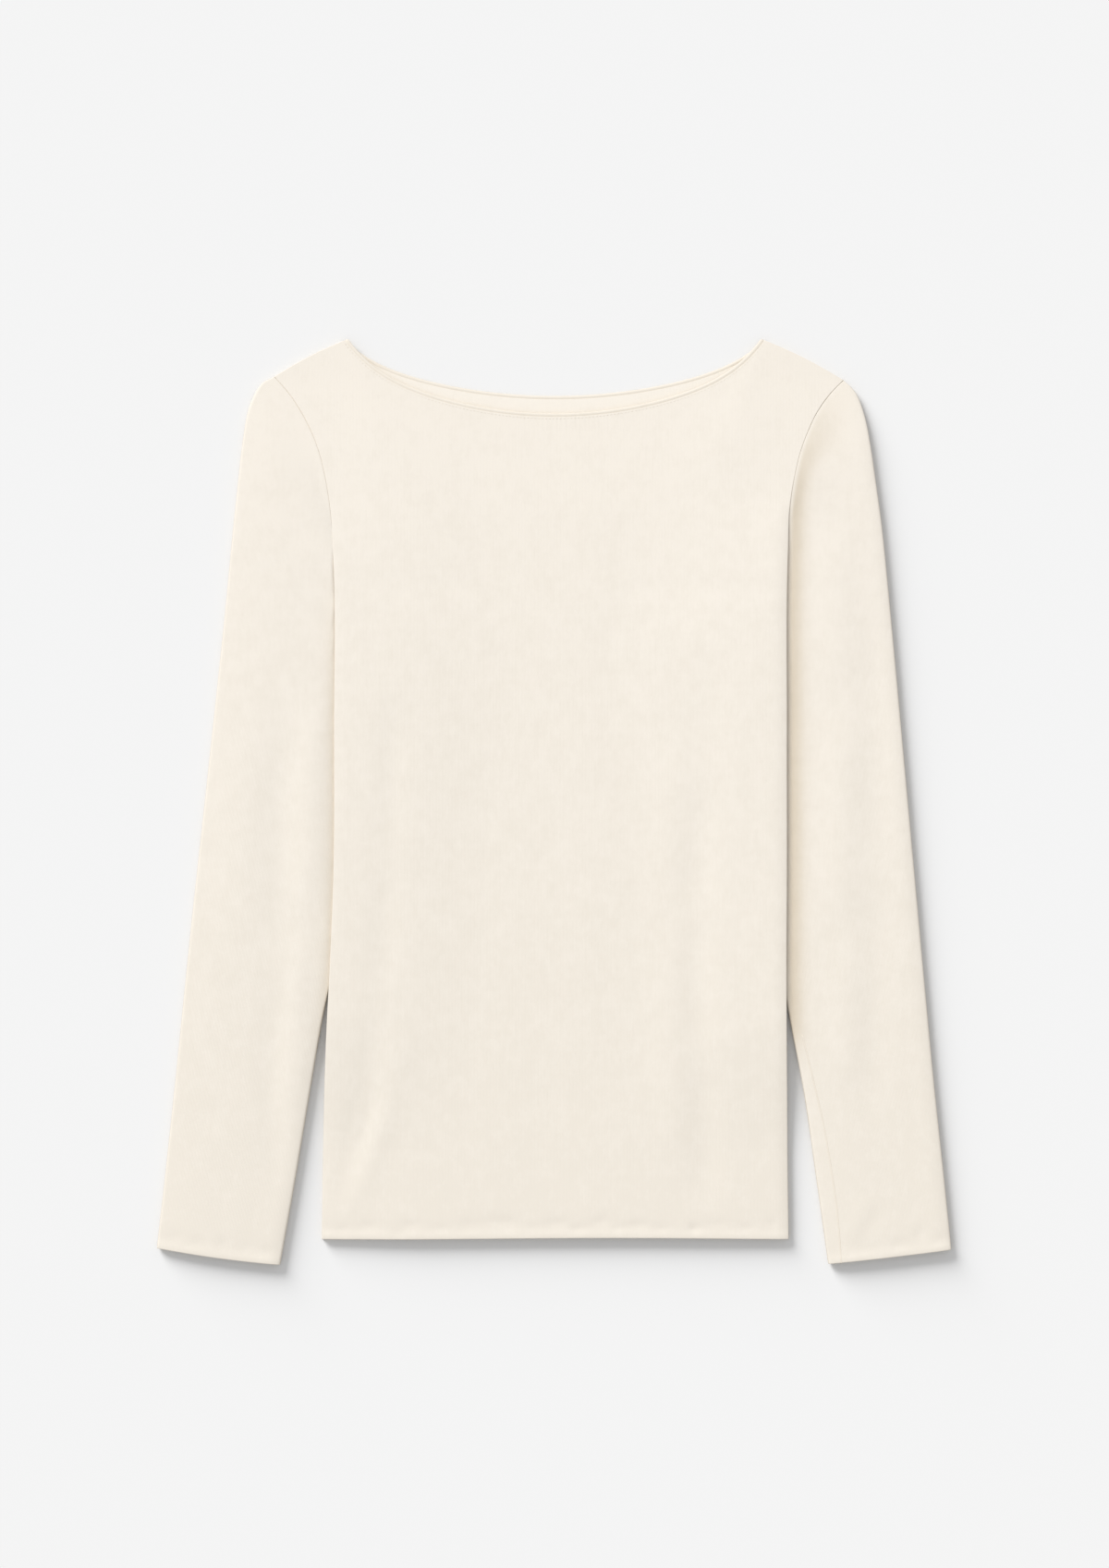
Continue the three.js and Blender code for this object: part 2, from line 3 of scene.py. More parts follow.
import bpy
import numpy as np
from bpy.props import FloatProperty, FloatVectorProperty, PointerProperty
from bpy.types import Operator, Panel, PropertyGroup
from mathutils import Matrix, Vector


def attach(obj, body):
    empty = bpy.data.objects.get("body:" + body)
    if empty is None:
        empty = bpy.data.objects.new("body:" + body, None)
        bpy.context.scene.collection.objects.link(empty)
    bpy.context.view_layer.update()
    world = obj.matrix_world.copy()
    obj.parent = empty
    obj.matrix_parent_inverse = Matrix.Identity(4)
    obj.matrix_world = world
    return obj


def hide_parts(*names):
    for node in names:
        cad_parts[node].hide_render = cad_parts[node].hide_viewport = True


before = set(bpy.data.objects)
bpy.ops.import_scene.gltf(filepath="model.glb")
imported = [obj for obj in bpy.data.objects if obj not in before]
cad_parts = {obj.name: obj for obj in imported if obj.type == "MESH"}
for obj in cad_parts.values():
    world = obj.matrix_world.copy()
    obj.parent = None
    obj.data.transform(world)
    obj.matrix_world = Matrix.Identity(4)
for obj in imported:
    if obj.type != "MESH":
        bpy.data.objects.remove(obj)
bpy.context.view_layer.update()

bl_info = {
    "name": "Thermal base layer top",
    "version": (1, 0, 0),
    "blender": (4, 5, 0),
    "location": "View3D > Sidebar > Garment",
    "description": "Dresses the packed solids of a laid-out long-sleeved jersey top",
    "category": "Object",
}

# Lengths in the tables and in the functions of the cloth are millimetres, and meshes are made in metres.
# Left and right in them are the viewer's. In the names of pieces they are the wearer's.
MM = 0.001
BODY = "root"

# Body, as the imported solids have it. Its hem and the cuffs bow a little.
HEM_Y = -301.8
HEM_SAG = 0.5
HEM_SAG_AT = 125.0
HEM_SAG_RUN = 165.0
HEM_SAG_RISE = 60.0
YOKE_Y = 245.0
SHOULDER_TIP = {"left": (-193.9, 294.7), "right": (199.7, 292.2)}
SHOULDER_BOW = 1.6
WALL = 1.8
SEAM_GAP = 0.3
NECK_HALF_WIDTH = 144.6
FRONT_NECK = {"y": 266.8, "bow": 36.5, "corner_rise": 16.0}
BACK_NECK = {"y": 281.6, "bow": 28.0, "corner_rise": 10.4}
NECK_CORNER_POWER = 8
BINDING_WIDTH = 2.4
SLEEVE_FLAT = 4.6
SLEEVE_LOFT = 1.5
ARMHOLE_CLEARANCE = 0.12
UNDERARM_Y = 171.8
CUFF_BOW = {"left": 1.0, "right": 0.3}

# How the body's sides ride up over the tucked sleeves: where the rise is full and where it has gone, and
# how far in from the side the back and the front come down again. Toward the armhole, from one y and within
# a run, the right side's rise evens out to the left's.
TUCK_LIFT = {"left": 4.5, "right": 4.9}
TUCK_RUN = 22.0
TUCK_TOP_FULL = 160.0
TUCK_TOP_NONE = 292.0
TUCK_BOTTOM_FULL = -156.0
TUCK_BOTTOM_NONE = -240.0
TUCK_EVEN_Y = 90.0
TUCK_EVEN_RUN = 70.0
BROAD_START = 14.0
BROAD_RUN = 105.0

# How far the front stands above its edges. At a side, a share of it is rolled up within a short run and the
# rest rises slowly. Along the armholes all of it rises slowly, and at the neck a share of it stays.
FRONT_LOFT = 1.9
FRONT_ROLL = {"left": (0.25, 11.0), "right": (0.8, 10.0)}
FRONT_RISE_RUN = 62.0
ARMHOLE_LOFT_Y = 180.0
ARMHOLE_LOFT_RUN = 40.0
NECK_RISE_RUN = 70.0
NECK_LOFT_SHARE = 0.25
NECK_LOFT = FRONT_LOFT * NECK_LOFT_SHARE
EDGE_FOLD_SHARE = 0.2

# Rounding of the cloth's edges: radius along the armholes, how much it grows at the free sides, and radius
# of the top edge.
ARMHOLE_RADIUS = 0.35
SIDE_RADIUS_GROWTH = 0.25
SIDE_RADIUS_START = 8.0
SIDE_RADIUS_RUN = 16.0
TOP_RADIUS = 0.45
ROUND_POWER = 2.8
ROLL_POWER = 2.4

# Spacing of a mesh's points: beside an edge, from the edge inward, next above the hem, and elsewhere. A
# panel's rows are some shares of its pitch apart, and a sleeve's columns are hundredths of its width apart.
EDGE_STEPS = [0.1, 0.18, 0.27, 0.35, 0.5, 0.8, 1.1, 1.4, 1.6]
HEM_STEPS = [1.2] * 8
BACK_PITCH = 4.0
FRONT_PITCH = 2.4
BODY_ROW_SHARE = 1.25
YOKE_ROW_SHARE = 2.2
YOKE_HEIGHT = 60.0
SLEEVE_PITCH = 2.9
SLEEVE_COLUMN_PITCH = 2.1
CORNER_SEARCH = (-6.0, 12.0, 0.02)
SLOPE_STEP = 0.5

# Sleeve: how far its outer and its inner side roll, its lowest loft, where the body covers it, and how far
# its height beside the body reaches outward: least, growth, and the y and run in which it grows.
SLEEVE_ROLL_RUNS = {"left": (42.0, 11.0), "right": (11.0, 38.0)}
SLEEVE_LEAST_LOFT = -0.3
COVER_Y = -196.0
COVER_RUN = 46.0
SEAM_REACH = {"left": (3.6, 27.8, 110.0, 90.0), "right": (7.0, 32.0, 225.0, 34.0)}
SLEEVE_RADIUS = 0.6
SLEEVE_RADIUS_GROWTH = 1.3
SLEEVE_RADIUS_RUN = 16.0
BELOW_RADIUS_SHARE = 1.7
BELOW_ROUND_POWER = 2.0
CUFF_BOW_RUN = 40.0
CUFF_DETAIL_RUN = 6.0

# Beneath the body's edge the sleeve sinks below its flat height, within short runs inward and downward.
UNDER_SINK = 0.4
UNDER_START = 0.1
UNDER_RUN = 1.2
UNDER_TOP = 1.0
UNDER_TOP_RUN = 2.5

# Sewing: the binding's overlap on its panel, half height, slant and puckers, the armhole's turnings, the
# underarm seam and the stitches beside the front neck. A pucker has a share of the width and a length. The
# points of the neck's line crowd together toward its corners by a share.
BACK_NECK_INSET = BINDING_WIDTH + 0.15
BINDING_OVERLAP = 0.7
BINDING_HALF_HEIGHT = 0.85
BINDING_TILT = 0.16
BINDING_DROP = 0.9
BINDING_PUCKERS = ((0.03, 3.1), (0.02, 7.7))
BINDING_END_RADIUS = 1.0
BINDING_END_SHARE = 0.05
BINDING_STEPS = 280
BINDING_CORNERS = 24
NECK_CORNER_CROWDING = 0.4
TAPE_HALF_WIDTH = 1.3
TAPE_HALF_HEIGHT = 0.6
TAPE_DEPTH = 0.3
TAPE_SINK = 3.0
TAPE_SINK_RUN = 14.0
TAPE_TOP_MARGIN = 1.0
TAPE_BOTTOM_REACH = 9.0
TAPE_STEPS = 150
TAPE_END_STEPS = 4.0
TAPE_END_SHARE = 0.1
TAPE_CORNERS = 12
SEAM_HALF_WIDTH = 0.55
SEAM_HALF_HEIGHT = 0.22
SEAM_DEPTH = 0.06
SEAM_CUFF_MARGIN = 0.4
SEAM_STEPS = 160
SEAM_CORNERS = 8
STITCH_INSET = 1.3
STITCH_LINE_STEPS = 900
STITCH_PITCH = 2.5
STITCH_MARGIN = 3.0
STITCH_HALF_WIDTH = 0.3
STITCH_HALF_HEIGHT = 0.16
STITCH_LIFT = 0.02
STITCH_RINGS = ((-0.75, 0.25), (-0.5, 0.8), (0.0, 1.0), (0.5, 0.8), (0.75, 0.25))
STITCH_CORNERS = 6

# Panel edges from the hem up the sides and the armholes: y, then x of the left and of the right edge.
PANEL_EDGE_ROWS = np.array([
    (-301.8, -161.0, 161.9),
    (-250.0, -160.2, 161.3),
    (-210.0, -159.4, 161.0),
    (-165.0, -157.9, 160.5),
    (-115.0, -155.4, 160.3),
    (-50.0, -152.8, 160.6),
    (50.0, -152.3, 160.6),
    (171.8, -153.0, 161.3),
    (205.0, -155.3, 162.7),
    (225.0, -158.5, 165.9),
    (242.0, -162.6, 169.9),
    (257.0, -168.3, 175.4),
    (270.0, -175.0, 181.6),
    (283.0, -183.6, 190.9),
    (294.7, -193.9, 202.6),
])
EDGE_COLUMN = {"left": 1, "right": 2}

# Rows of a flattened sleeve from the armhole to the cuff: outer fold x and y, inner fold x and y, and the
# share of the armhole's curve that the row keeps.
SLEEVE_ROWS = {
    "left": np.array([
        (-193.9, 294.7, -153.0, 171.8, 1.0),
        (-203.5, 288.8, -148.0, 162.0, 0.85),
        (-211.3, 273.5, -139.5, 150.5, 0.7),
        (-215.7, 250.0, -129.5, 136.5, 0.5),
        (-218.9, 222.0, -122.0, 118.0, 0.3),
        (-222.6, 187.0, -119.5, 95.0, 0.12),
        (-227.8, 133.0, -122.5, 60.0, 0.0),
        (-235.2, 63.0, -130.0, 12.0, 0.0),
        (-242.6, -5.0, -139.5, -42.0, 0.0),
        (-250.3, -75.0, -149.0, -99.0, 0.0),
        (-256.5, -135.0, -160.0, -148.0, 0.0),
        (-262.5, -194.0, -169.4, -202.0, 0.0),
        (-269.2, -256.0, -179.8, -264.0, 0.0),
        (-275.2, -308.4, -189.8, -320.0, 0.0),
    ]),
    "right": np.array([
        (199.7, 292.2, 161.3, 171.8, 1.0),
        (208.3, 283.2, 156.5, 162.0, 0.85),
        (214.6, 266.5, 148.0, 150.5, 0.7),
        (218.6, 246.5, 138.0, 136.5, 0.5),
        (222.4, 221.0, 130.5, 118.0, 0.3),
        (227.0, 187.0, 128.0, 95.0, 0.12),
        (232.4, 133.0, 130.5, 60.0, 0.0),
        (238.9, 63.0, 136.5, 12.0, 0.0),
        (245.1, -5.0, 145.0, -42.0, 0.0),
        (251.5, -75.0, 153.4, -99.0, 0.0),
        (257.0, -135.0, 162.4, -148.0, 0.0),
        (262.6, -194.0, 172.6, -202.0, 0.0),
        (269.2, -256.0, 181.6, -264.0, 0.0),
        (274.6, -309.4, 189.4, -319.4, 0.0),
    ]),
}

# Soft folds: from x and y, to x and y, half width and height above or below the cloth around them. Each
# fades in over its first third and out over its last.
FOLD_THIRDS = 3
FRONT_FOLDS = [
    (-110, 84, -117, -60, 12, -0.9),
    (-116, -30, -122, -150, 11, -1.1),
    (-120, -120, -141, -262, 11, -1.1),
    (-98, -144, -122, -240, 12, 0.5),
    (-124, -186, -152, -286, 9, -0.95),
    (-112, -200, -147, -302, 9, 0.85),
    (-132, -262, -140, -298, 6, -0.25),
    (106, 118, 104, 0, 15, -0.7),
    (104, 30, 97, -90, 13, -1.2),
    (98, -60, 101, -190, 12, -1.3),
    (102, -160, 105, -292, 12, -1.2),
    (84, 60, 78, -90, 13, 0.5),
    (79, -60, 82, -280, 13, 0.6),
    (4, -170, 3, -290, 22, -0.16),
    (42, -190, 46, -292, 18, 0.12),
    (-46, -200, -52, -294, 18, 0.12),
    (-60, 236, -96, 206, 22, -0.08),
    (60, 238, 100, 204, 22, -0.08),
    (-80, 120, -20, 40, 34, 0.1),
    (70, 10, 20, -110, 36, 0.1),
]
SLEEVE_FOLDS = {
    "left": [
        (-188, 80, -191, -130, 12, -1.0),
        (-191, -100, -195, -290, 12, -1.0),
        (-165, 90, -172, -100, 11, 1.3),
        (-172, -70, -188, -250, 10, 1.1),
        (-212, 70, -218, -140, 13, 0.45),
        (-226, 120, -240, -120, 20, 0.2),
        (-230, -226, -262, -206, 14, -0.2),
        (-214, -262, -222, -306, 9, 0.22),
        (-166, 240, -157, 182, 4.5, -0.4),
        (-200, 262, -186, 214, 16, 0.2),
    ],
    "right": [
        (193, 206, 198, 60, 15, 1.4),
        (197, 90, 200, -110, 15, 1.65),
        (200, -80, 204, -210, 14, 1.1),
        (221, 150, 224, -60, 11, -0.6),
        (224, -40, 219, -230, 11, -0.65),
        (172, 238, 168, 186, 4.5, -0.5),
        (193, 284, 187, 236, 9, -0.45),
        (199, -309, 221, -270, 8, 0.35),
        (206, -312, 229, -274, 6, -0.35),
        (236, 60, 246, -120, 18, 0.2),
    ],
}

# Height of a sleeve's cloth right beside the body's edge: y, then height.
SEAM_LEVELS = {
    "left": np.array([
        (-330, 4.9),
        (20, 4.9),
        (70, 5.0),
        (110, 6.0),
        (145, 7.1),
        (172, 7.7),
        (200, 6.9),
        (222, 6.3),
        (243, 5.5),
        (282, 3.9),
        (300, 3.9),
    ]),
    "right": np.array([
        (-330, 4.5),
        (150, 4.5),
        (172, 4.7),
        (185, 5.3),
        (197, 5.9),
        (210, 6.2),
        (223, 6.1),
        (236, 5.7),
        (250, 5.2),
        (282, 3.9),
        (300, 3.9),
    ]),
}

# Turned edge: where its soft lip and the hollow behind it lie, how far they run, and their least height and
# growth. The hollow runs further on the side away from the edge.
LIP_AT = 2.6
LIP_RUN = 2.4
LIP_HEIGHTS = (0.12, 0.26)
HOLLOW_AT = 7.0
HOLLOW_RUNS = (5.5, 2.4)
HOLLOW_HEIGHTS = (0.04, 0.30)
WANDER_LENGTHS = (7.3, 17.0, 4.1)
HEM_SEED = 1.1
CUFF_SEED = 2.3
HOLLOW_SEED = 1.7

# The dimples below are wider and deeper than their row says by these factors.
DIMPLE_SOFTNESS = 1.6
DIMPLE_STRENGTH = 1.1

# Dimples beside the hem and the cuffs: x, y, half length along the edge, half width and depth.
HEM_DIMPLES = [
    (-107.5, -298.6, 4.5, 1.8, 0.30),
    (-99.0, -292.0, 6.0, 2.2, 0.35),
    (-78.0, -294.5, 5.0, 1.8, 0.20),
    (-60.0, -291.5, 6.5, 2.4, 0.25),
    (-36.0, -289.8, 13.0, 2.6, 0.50),
    (-14.0, -293.5, 5.0, 1.8, 0.25),
    (2.0, -290.8, 8.0, 2.4, 0.40),
    (15.5, -295.2, 5.0, 2.0, 0.45),
    (32.5, -289.6, 6.0, 2.4, 0.45),
    (44.0, -294.0, 4.0, 1.8, 0.20),
    (57.5, -292.4, 7.0, 2.2, 0.45),
    (74.0, -295.0, 5.0, 1.8, 0.25),
    (96.5, -295.4, 3.6, 2.4, 0.60),
    (113.0, -291.0, 7.0, 2.2, 0.25),
    (134.0, -294.0, 5.0, 1.8, 0.25),
    (151.0, -290.5, 4.0, 2.4, 0.30),
    (-128.0, -292.5, 6.0, 2.2, 0.30),
    (-146.0, -295.0, 4.0, 2.0, 0.30),
]
CUFF_DIMPLES = {
    "left": [
        (-262.0, -300.5, 5.0, 1.8, 0.30),
        (-246.0, -303.8, 6.0, 2.0, 0.25),
        (-229.0, -304.5, 4.0, 1.8, 0.35),
        (-213.0, -308.5, 6.0, 2.0, 0.25),
        (-198.0, -309.5, 4.0, 1.8, 0.25),
    ],
    "right": [
        (253.0, -298.6, 4.5, 3.0, 0.55),
        (239.0, -305.0, 5.0, 1.8, 0.25),
        (222.0, -307.5, 5.0, 2.0, 0.25),
        (266.0, -301.5, 3.5, 1.8, 0.20),
    ],
}

# Look of the jersey. Scales are per metre, and the tone rises per metre toward the neck: painted shade that
# deepens toward the hem.
CLOUD_SCALE = 95.0
CLOUD_DETAIL = 3.0
CLOUD_ROUGHNESS = 0.62
CLOUD_SHARE = 0.65
CLOUD_RANGE = (0.36, 0.64)
STREAK_SCALE = 420.0
STREAK_SQUEEZE = 0.22
FINE_DETAIL = 2.0
PAINTED_HEM_SHADE_RISE = 1.7
PAINTED_HEM_SHADE_START = 0.5
TONE_SPREAD = 0.7
TONE_DROP = 0.35
FUZZ_SCALE = 1900.0
RIB_SHARE = 0.7
LOOP_SLANT = 1.3
JERSEY_SURFACE = {
    "Roughness": 0.92,
    "Specular IOR Level": 0.2,
    "Sheen Weight": 0.12,
    "Sheen Roughness": 0.55,
}

# Painted shade on the cloth's upright edges, darkening them where the light would make them bright. An edge
# starts to be tinted and is fully tinted where its upright part of the normal falls to these.
PAINTED_RIM_SHADE_RANGE = (0.85, 0.2)

# Puckers under the front neck's seam, in metres: middle, reach, and the turn of both waves per metre.
PUCKER_MIDDLE = (0.006, 0.2635)
PUCKER_REACH = (0.042, 0.011)
PUCKER_WAVES = (1950.0, 1130.0)
PUCKER_STRENGTH = 0.5

# Painted shade on the sleeves' cloth beside the body: a warm darkening that stands in for the body's shadow
# on the sleeve and the shade where the sleeve goes beneath it. Its share, how far out its middle lies, and
# its reach. On the viewer's right the reach grows up the armhole and the painted shade rises from the
# body's edge outward. At its top and its bottom it fades out at a y, within a run.
PAINTED_SHADE_SHARE = {"left": 0.22, "right": 0.72}
PAINTED_SHADE_MIDDLE = {"left": 0.0, "right": 4.0}
PAINTED_SHADE_REACH = {"left": 6.5, "right": 7.5}
PAINTED_SHADE_REACH_GROWTH = 9.0
PAINTED_SHADE_REACH_Y = 225.0
PAINTED_SHADE_REACH_RUN = 30.0
PAINTED_SHADE_RISE = 3.6
PAINTED_SHADE_TOP = {"left": (165.0, 60.0), "right": (310.0, 115.0)}
PAINTED_SHADE_BOTTOM = (-190.0, 40.0)

# Stage: floor and distance of the lights in metres, and the camera's sensor in millimetres.
FLOOR_SIZE = 40.0
LIGHT_DISTANCE = 3.0
SENSOR_WIDTH = 36.0

# Underarm seam of the viewer's right sleeve, which shows on its upper side: x and y from above to the cuff.
UNDERARM_SEAM = np.array([
    (171.5, -161.0),
    (179.2, -193.0),
    (184.8, -217.0),
    (189.6, -243.0),
    (193.3, -266.5),
    (195.5, -283.2),
    (197.0, -300.0),
    (198.3, -318.6),
])


def ease(value):
    """Runs smoothly from 0 to 1 as its argument does."""
    held = np.clip(value, 0.0, 1.0)
    return held * held * (3 - 2 * held)


def smooth_column(keys, values, at):
    """Smooth curve through the rows of a table whose keys rise."""
    slopes = np.gradient(values, keys)
    index = np.clip(np.searchsorted(keys, at, side="right") - 1, 0, len(keys) - 2)
    run = keys[index + 1] - keys[index]
    share = np.clip((at - keys[index]) / run, 0.0, 1.0)
    square = share * share
    cube = square * share
    return (
        (2 * cube - 3 * square + 1) * values[index]
        + (cube - 2 * square + share) * run * slopes[index]
        + (3 * square - 2 * cube) * values[index + 1]
        + (cube - square) * run * slopes[index + 1]
    )


def edge_x(side, y):
    """X of a panel's side or armhole edge."""
    return smooth_column(PANEL_EDGE_ROWS[:, 0], PANEL_EDGE_ROWS[:, EDGE_COLUMN[side]], y)


def outward_from_body(side, x, y):
    """Distance of a place beyond the body's side edge."""
    return edge_x(side, y) - x if side == "left" else x - edge_x(side, y)


def seam_level(side, y):
    """Height of a sleeve's cloth right beside the body's edge."""
    return smooth_column(SEAM_LEVELS[side][:, 0], SEAM_LEVELS[side][:, 1], y)


def lengths_along(points):
    """Length of a line at each of its points."""
    return np.concatenate([[0.0], np.cumsum(np.linalg.norm(np.diff(points, axis=0), axis=1))])


def fold_height(folds, x, y):
    """Height of the soft folds at places on a piece."""
    height = np.zeros_like(x)
    for from_x, from_y, to_x, to_y, width, rise in folds:
        run_x = to_x - from_x
        run_y = to_y - from_y
        along = ((x - from_x) * run_x + (y - from_y) * run_y) / (run_x**2 + run_y**2)
        held = np.clip(along, 0.0, 1.0)
        away = np.hypot(x - from_x - held * run_x, y - from_y - held * run_y)
        taper = ease(FOLD_THIRDS * held) * ease(FOLD_THIRDS * (1 - held))
        height += rise * taper * np.exp(-((away / width) ** 2))
    return height


def dimple_depth(dimples, x, y):
    """Depth of the small dimples where a turned edge is caught on the inside."""
    depth = np.zeros_like(x)
    for centre_x, centre_y, half_length, half_width, deep in dimples:
        soft_width = DIMPLE_SOFTNESS * half_width
        spread = ((x - centre_x) / half_length) ** 2 + ((y - centre_y) / soft_width) ** 2
        depth += deep * np.exp(-spread)
    return depth


def roundness(distance, radius, power=ROUND_POWER):
    """Share of its full thickness that rounded cloth has at a distance from its edge."""
    held = np.clip(distance / radius, 0.0, 1.0)
    return np.maximum(0.0, 1 - (1 - held) ** power) ** (1 / power)


def roll(distance, run):
    """Share of its full height that softly rolled cloth has at a distance from its edge."""
    return 1 - (1 - np.clip(distance / run, 0.0, 1.0)) ** ROLL_POWER


def tuck_reach(side, y):
    """How far the tucked part of a sleeve reaches in beneath the body's side."""
    rows = SLEEVE_ROWS[side][::-1]
    hidden = smooth_column(rows[:, 3], rows[:, 2], y)
    inside = (y <= rows[-1, 3]) & (y >= rows[0, 3])
    return np.where(inside, np.maximum(0.0, -outward_from_body(side, hidden, y)), 0.0)


def even_ramp(value):
    """Runs from 0 to 1 more evenly than ease does."""
    return (ease(value) + np.clip(value, 0.0, 1.0)) / 2


def edge_lift(side, y):
    """Height of one of the body's side edges above the surface."""
    top = np.clip((TUCK_TOP_NONE - y) / (TUCK_TOP_NONE - TUCK_TOP_FULL), 0.0, 1.0)
    bottom = even_ramp((y - TUCK_BOTTOM_NONE) / (TUCK_BOTTOM_FULL - TUCK_BOTTOM_NONE))
    to_even = ease((y - TUCK_EVEN_Y) / TUCK_EVEN_RUN)
    free = TUCK_LIFT[side] + (TUCK_LIFT["left"] - TUCK_LIFT[side]) * to_even
    return free * top * bottom


def tuck_lift(x, y):
    """Height of the back panel's underside above the surface."""
    height = np.zeros_like(x)
    for side in ("left", "right"):
        past = np.abs(x - edge_x(side, y)) - tuck_reach(side, y)
        height = np.maximum(height, edge_lift(side, y) * (1 - ease(past / TUCK_RUN)))
    return height


def broad_lift(x, y):
    """Gentle rise of the front panel from its middle toward its raised sides."""
    height = np.zeros_like(x)
    for side in ("left", "right"):
        start = np.maximum(0.0, tuck_reach(side, y) - BROAD_START)
        past = np.abs(x - edge_x(side, y)) - start
        height = np.maximum(height, edge_lift(side, y) * (1 - even_ramp(past / BROAD_RUN)))
    return height


def neck_y(neck, x):
    """Height of the neck's edge at a distance from the middle of the neck."""
    share = np.abs(x) / NECK_HALF_WIDTH
    return neck["y"] + neck["bow"] * share**2 + neck["corner_rise"] * share**NECK_CORNER_POWER


def neck_inset_y(neck, x, inset):
    """The neck's edge moved down the panel, square to itself."""
    slope = (neck_y(neck, x + SLOPE_STEP) - neck_y(neck, x - SLOPE_STEP)) / (2 * SLOPE_STEP)
    return neck_y(neck, x) - inset * np.hypot(1.0, slope)


def neck_corner(side, neck, inset):
    """Where a panel's neck edge meets the shoulder line."""
    sign = -1 if side == "left" else 1
    tip_x, tip_y = SHOULDER_TIP[side]
    rise = (neck_y(BACK_NECK, NECK_HALF_WIDTH) - tip_y) / (sign * NECK_HALF_WIDTH - tip_x)
    search_from, search_to, search_step = CORNER_SEARCH
    x = sign * np.arange(NECK_HALF_WIDTH + search_from, NECK_HALF_WIDTH + search_to, search_step)
    above = neck_inset_y(neck, x, inset) - (tip_y + rise * (x - tip_x))
    found = x[np.argmax(above >= 0)]
    return float(found), float(neck_inset_y(neck, found, inset))


def spaced(length, edge_steps, pitch):
    """Distances from 0 to length, close together near both ends and a pitch apart between."""
    near = np.cumsum([0.0] + edge_steps)
    middle = length - 2 * near[-1]
    count = max(1, int(round(middle / pitch)))
    between = near[-1] + middle * np.arange(1, count) / count
    return np.concatenate([near, between, length - near[::-1]])


def column_shares(pitch):
    """Shares of a panel's width at its columns, with a column at each corner of the neck."""
    left_x = SHOULDER_TIP["left"][0]
    width = SHOULDER_TIP["right"][0] - left_x
    shares = spaced(width, EDGE_STEPS, pitch) / width
    corners = [(sign * NECK_HALF_WIDTH - left_x) / width for sign in (-1, 1)]
    indices = []
    for corner in corners:
        index = int(np.argmin(np.abs(shares - corner)))
        shares[index] = corner
        indices.append(index)
    return shares, indices


def top_edge(shares, indices, neck, inset):
    """Points of a panel's top edge: shoulder, neck and shoulder."""
    first, last = indices
    left = neck_corner("left", neck, inset)
    right = neck_corner("right", neck, inset)
    x = np.empty(len(shares))
    y = np.empty(len(shares))
    for part, start, end, share_a, share_b in (
        (slice(0, first), SHOULDER_TIP["left"], left, shares[0], shares[first]),
        (slice(last + 1, None), right, SHOULDER_TIP["right"], shares[last], shares[-1]),
    ):
        along = (shares[part] - share_a) / (share_b - share_a)
        x[part] = start[0] + (end[0] - start[0]) * along
        y[part] = start[1] + (end[1] - start[1]) * along + SHOULDER_BOW * np.sin(np.pi * along)
    middle = slice(first, last + 1)
    along = (shares[middle] - shares[first]) / (shares[last] - shares[first])
    x[middle] = left[0] + (right[0] - left[0]) * along
    y[middle] = neck_inset_y(neck, x[middle], inset)
    return x, y


def body_rows(shares, pitch):
    """Rows of a panel from the hem to the yoke line, with the hem's slight bow."""
    hem_steps = np.cumsum([0.0] + EDGE_STEPS + HEM_STEPS)
    count = int((YOKE_Y - HEM_Y) / (BODY_ROW_SHARE * pitch))
    heights = HEM_Y + np.concatenate([hem_steps, np.linspace(hem_steps[-1], YOKE_Y - HEM_Y, count)[1:]])
    left_x = edge_x("left", heights)
    right_x = edge_x("right", heights)
    x = left_x[:, None] + (right_x - left_x)[:, None] * shares
    y = np.repeat(heights[:, None], len(shares), axis=1)
    sag = HEM_SAG * np.cos(np.pi * (x + HEM_SAG_AT) / HEM_SAG_RUN)
    return x, y - sag * (1 - ease((y - HEM_Y) / HEM_SAG_RISE))


def yoke_rows(shares, base_x, top_x, top_y, pitch):
    """Rows of a panel from the yoke line to its top edge, close together at the top."""
    heights = spaced(2 * YOKE_HEIGHT, EDGE_STEPS, YOKE_ROW_SHARE * pitch) - YOKE_HEIGHT
    tips = (SHOULDER_TIP["left"], SHOULDER_TIP["right"])
    rows_x = []
    rows_y = []
    for share_up in heights[heights > 0] / YOKE_HEIGHT:
        ends = [tips[0][0], tips[1][0]]
        if share_up < 1.0:
            levels = [YOKE_Y + (tip[1] - YOKE_Y) * share_up for tip in tips]
            ends = [float(edge_x(side, level)) for side, level in zip(EDGE_COLUMN, levels)]
        row_x = base_x + (top_x - base_x) * share_up
        rows_x.append(row_x + (ends[0] - row_x[0]) * (1 - shares) + (ends[1] - row_x[-1]) * shares)
        rows_y.append(YOKE_Y + (top_y - YOKE_Y) * share_up)
    return rows_x, rows_y


def panel_plan(neck, inset, pitch):
    """Plan of a panel in rows from the hem to the top edge, and each point's distance from the edges."""
    shares, indices = column_shares(pitch)
    top_x, top_y = top_edge(shares, indices, neck, inset)
    body_x, body_y = body_rows(shares, pitch)
    yoke_x, yoke_y = yoke_rows(shares, body_x[-1], top_x, top_y, pitch)
    x = np.vstack([body_x, yoke_x])
    y = np.vstack([body_y, yoke_y])
    across = np.hypot(np.diff(x, axis=1), np.diff(y, axis=1))
    upward = np.hypot(np.diff(x, axis=0), np.diff(y, axis=0))
    from_left = np.concatenate([np.zeros((len(x), 1)), np.cumsum(across, axis=1)], axis=1)
    from_hem = np.concatenate([np.zeros((1, x.shape[1])), np.cumsum(upward, axis=0)])
    distances = {
        "left": from_left,
        "right": from_left[:, -1:] - from_left,
        "hem": from_hem,
        "top": from_hem[-1:] - from_hem,
    }
    return x, y, distances


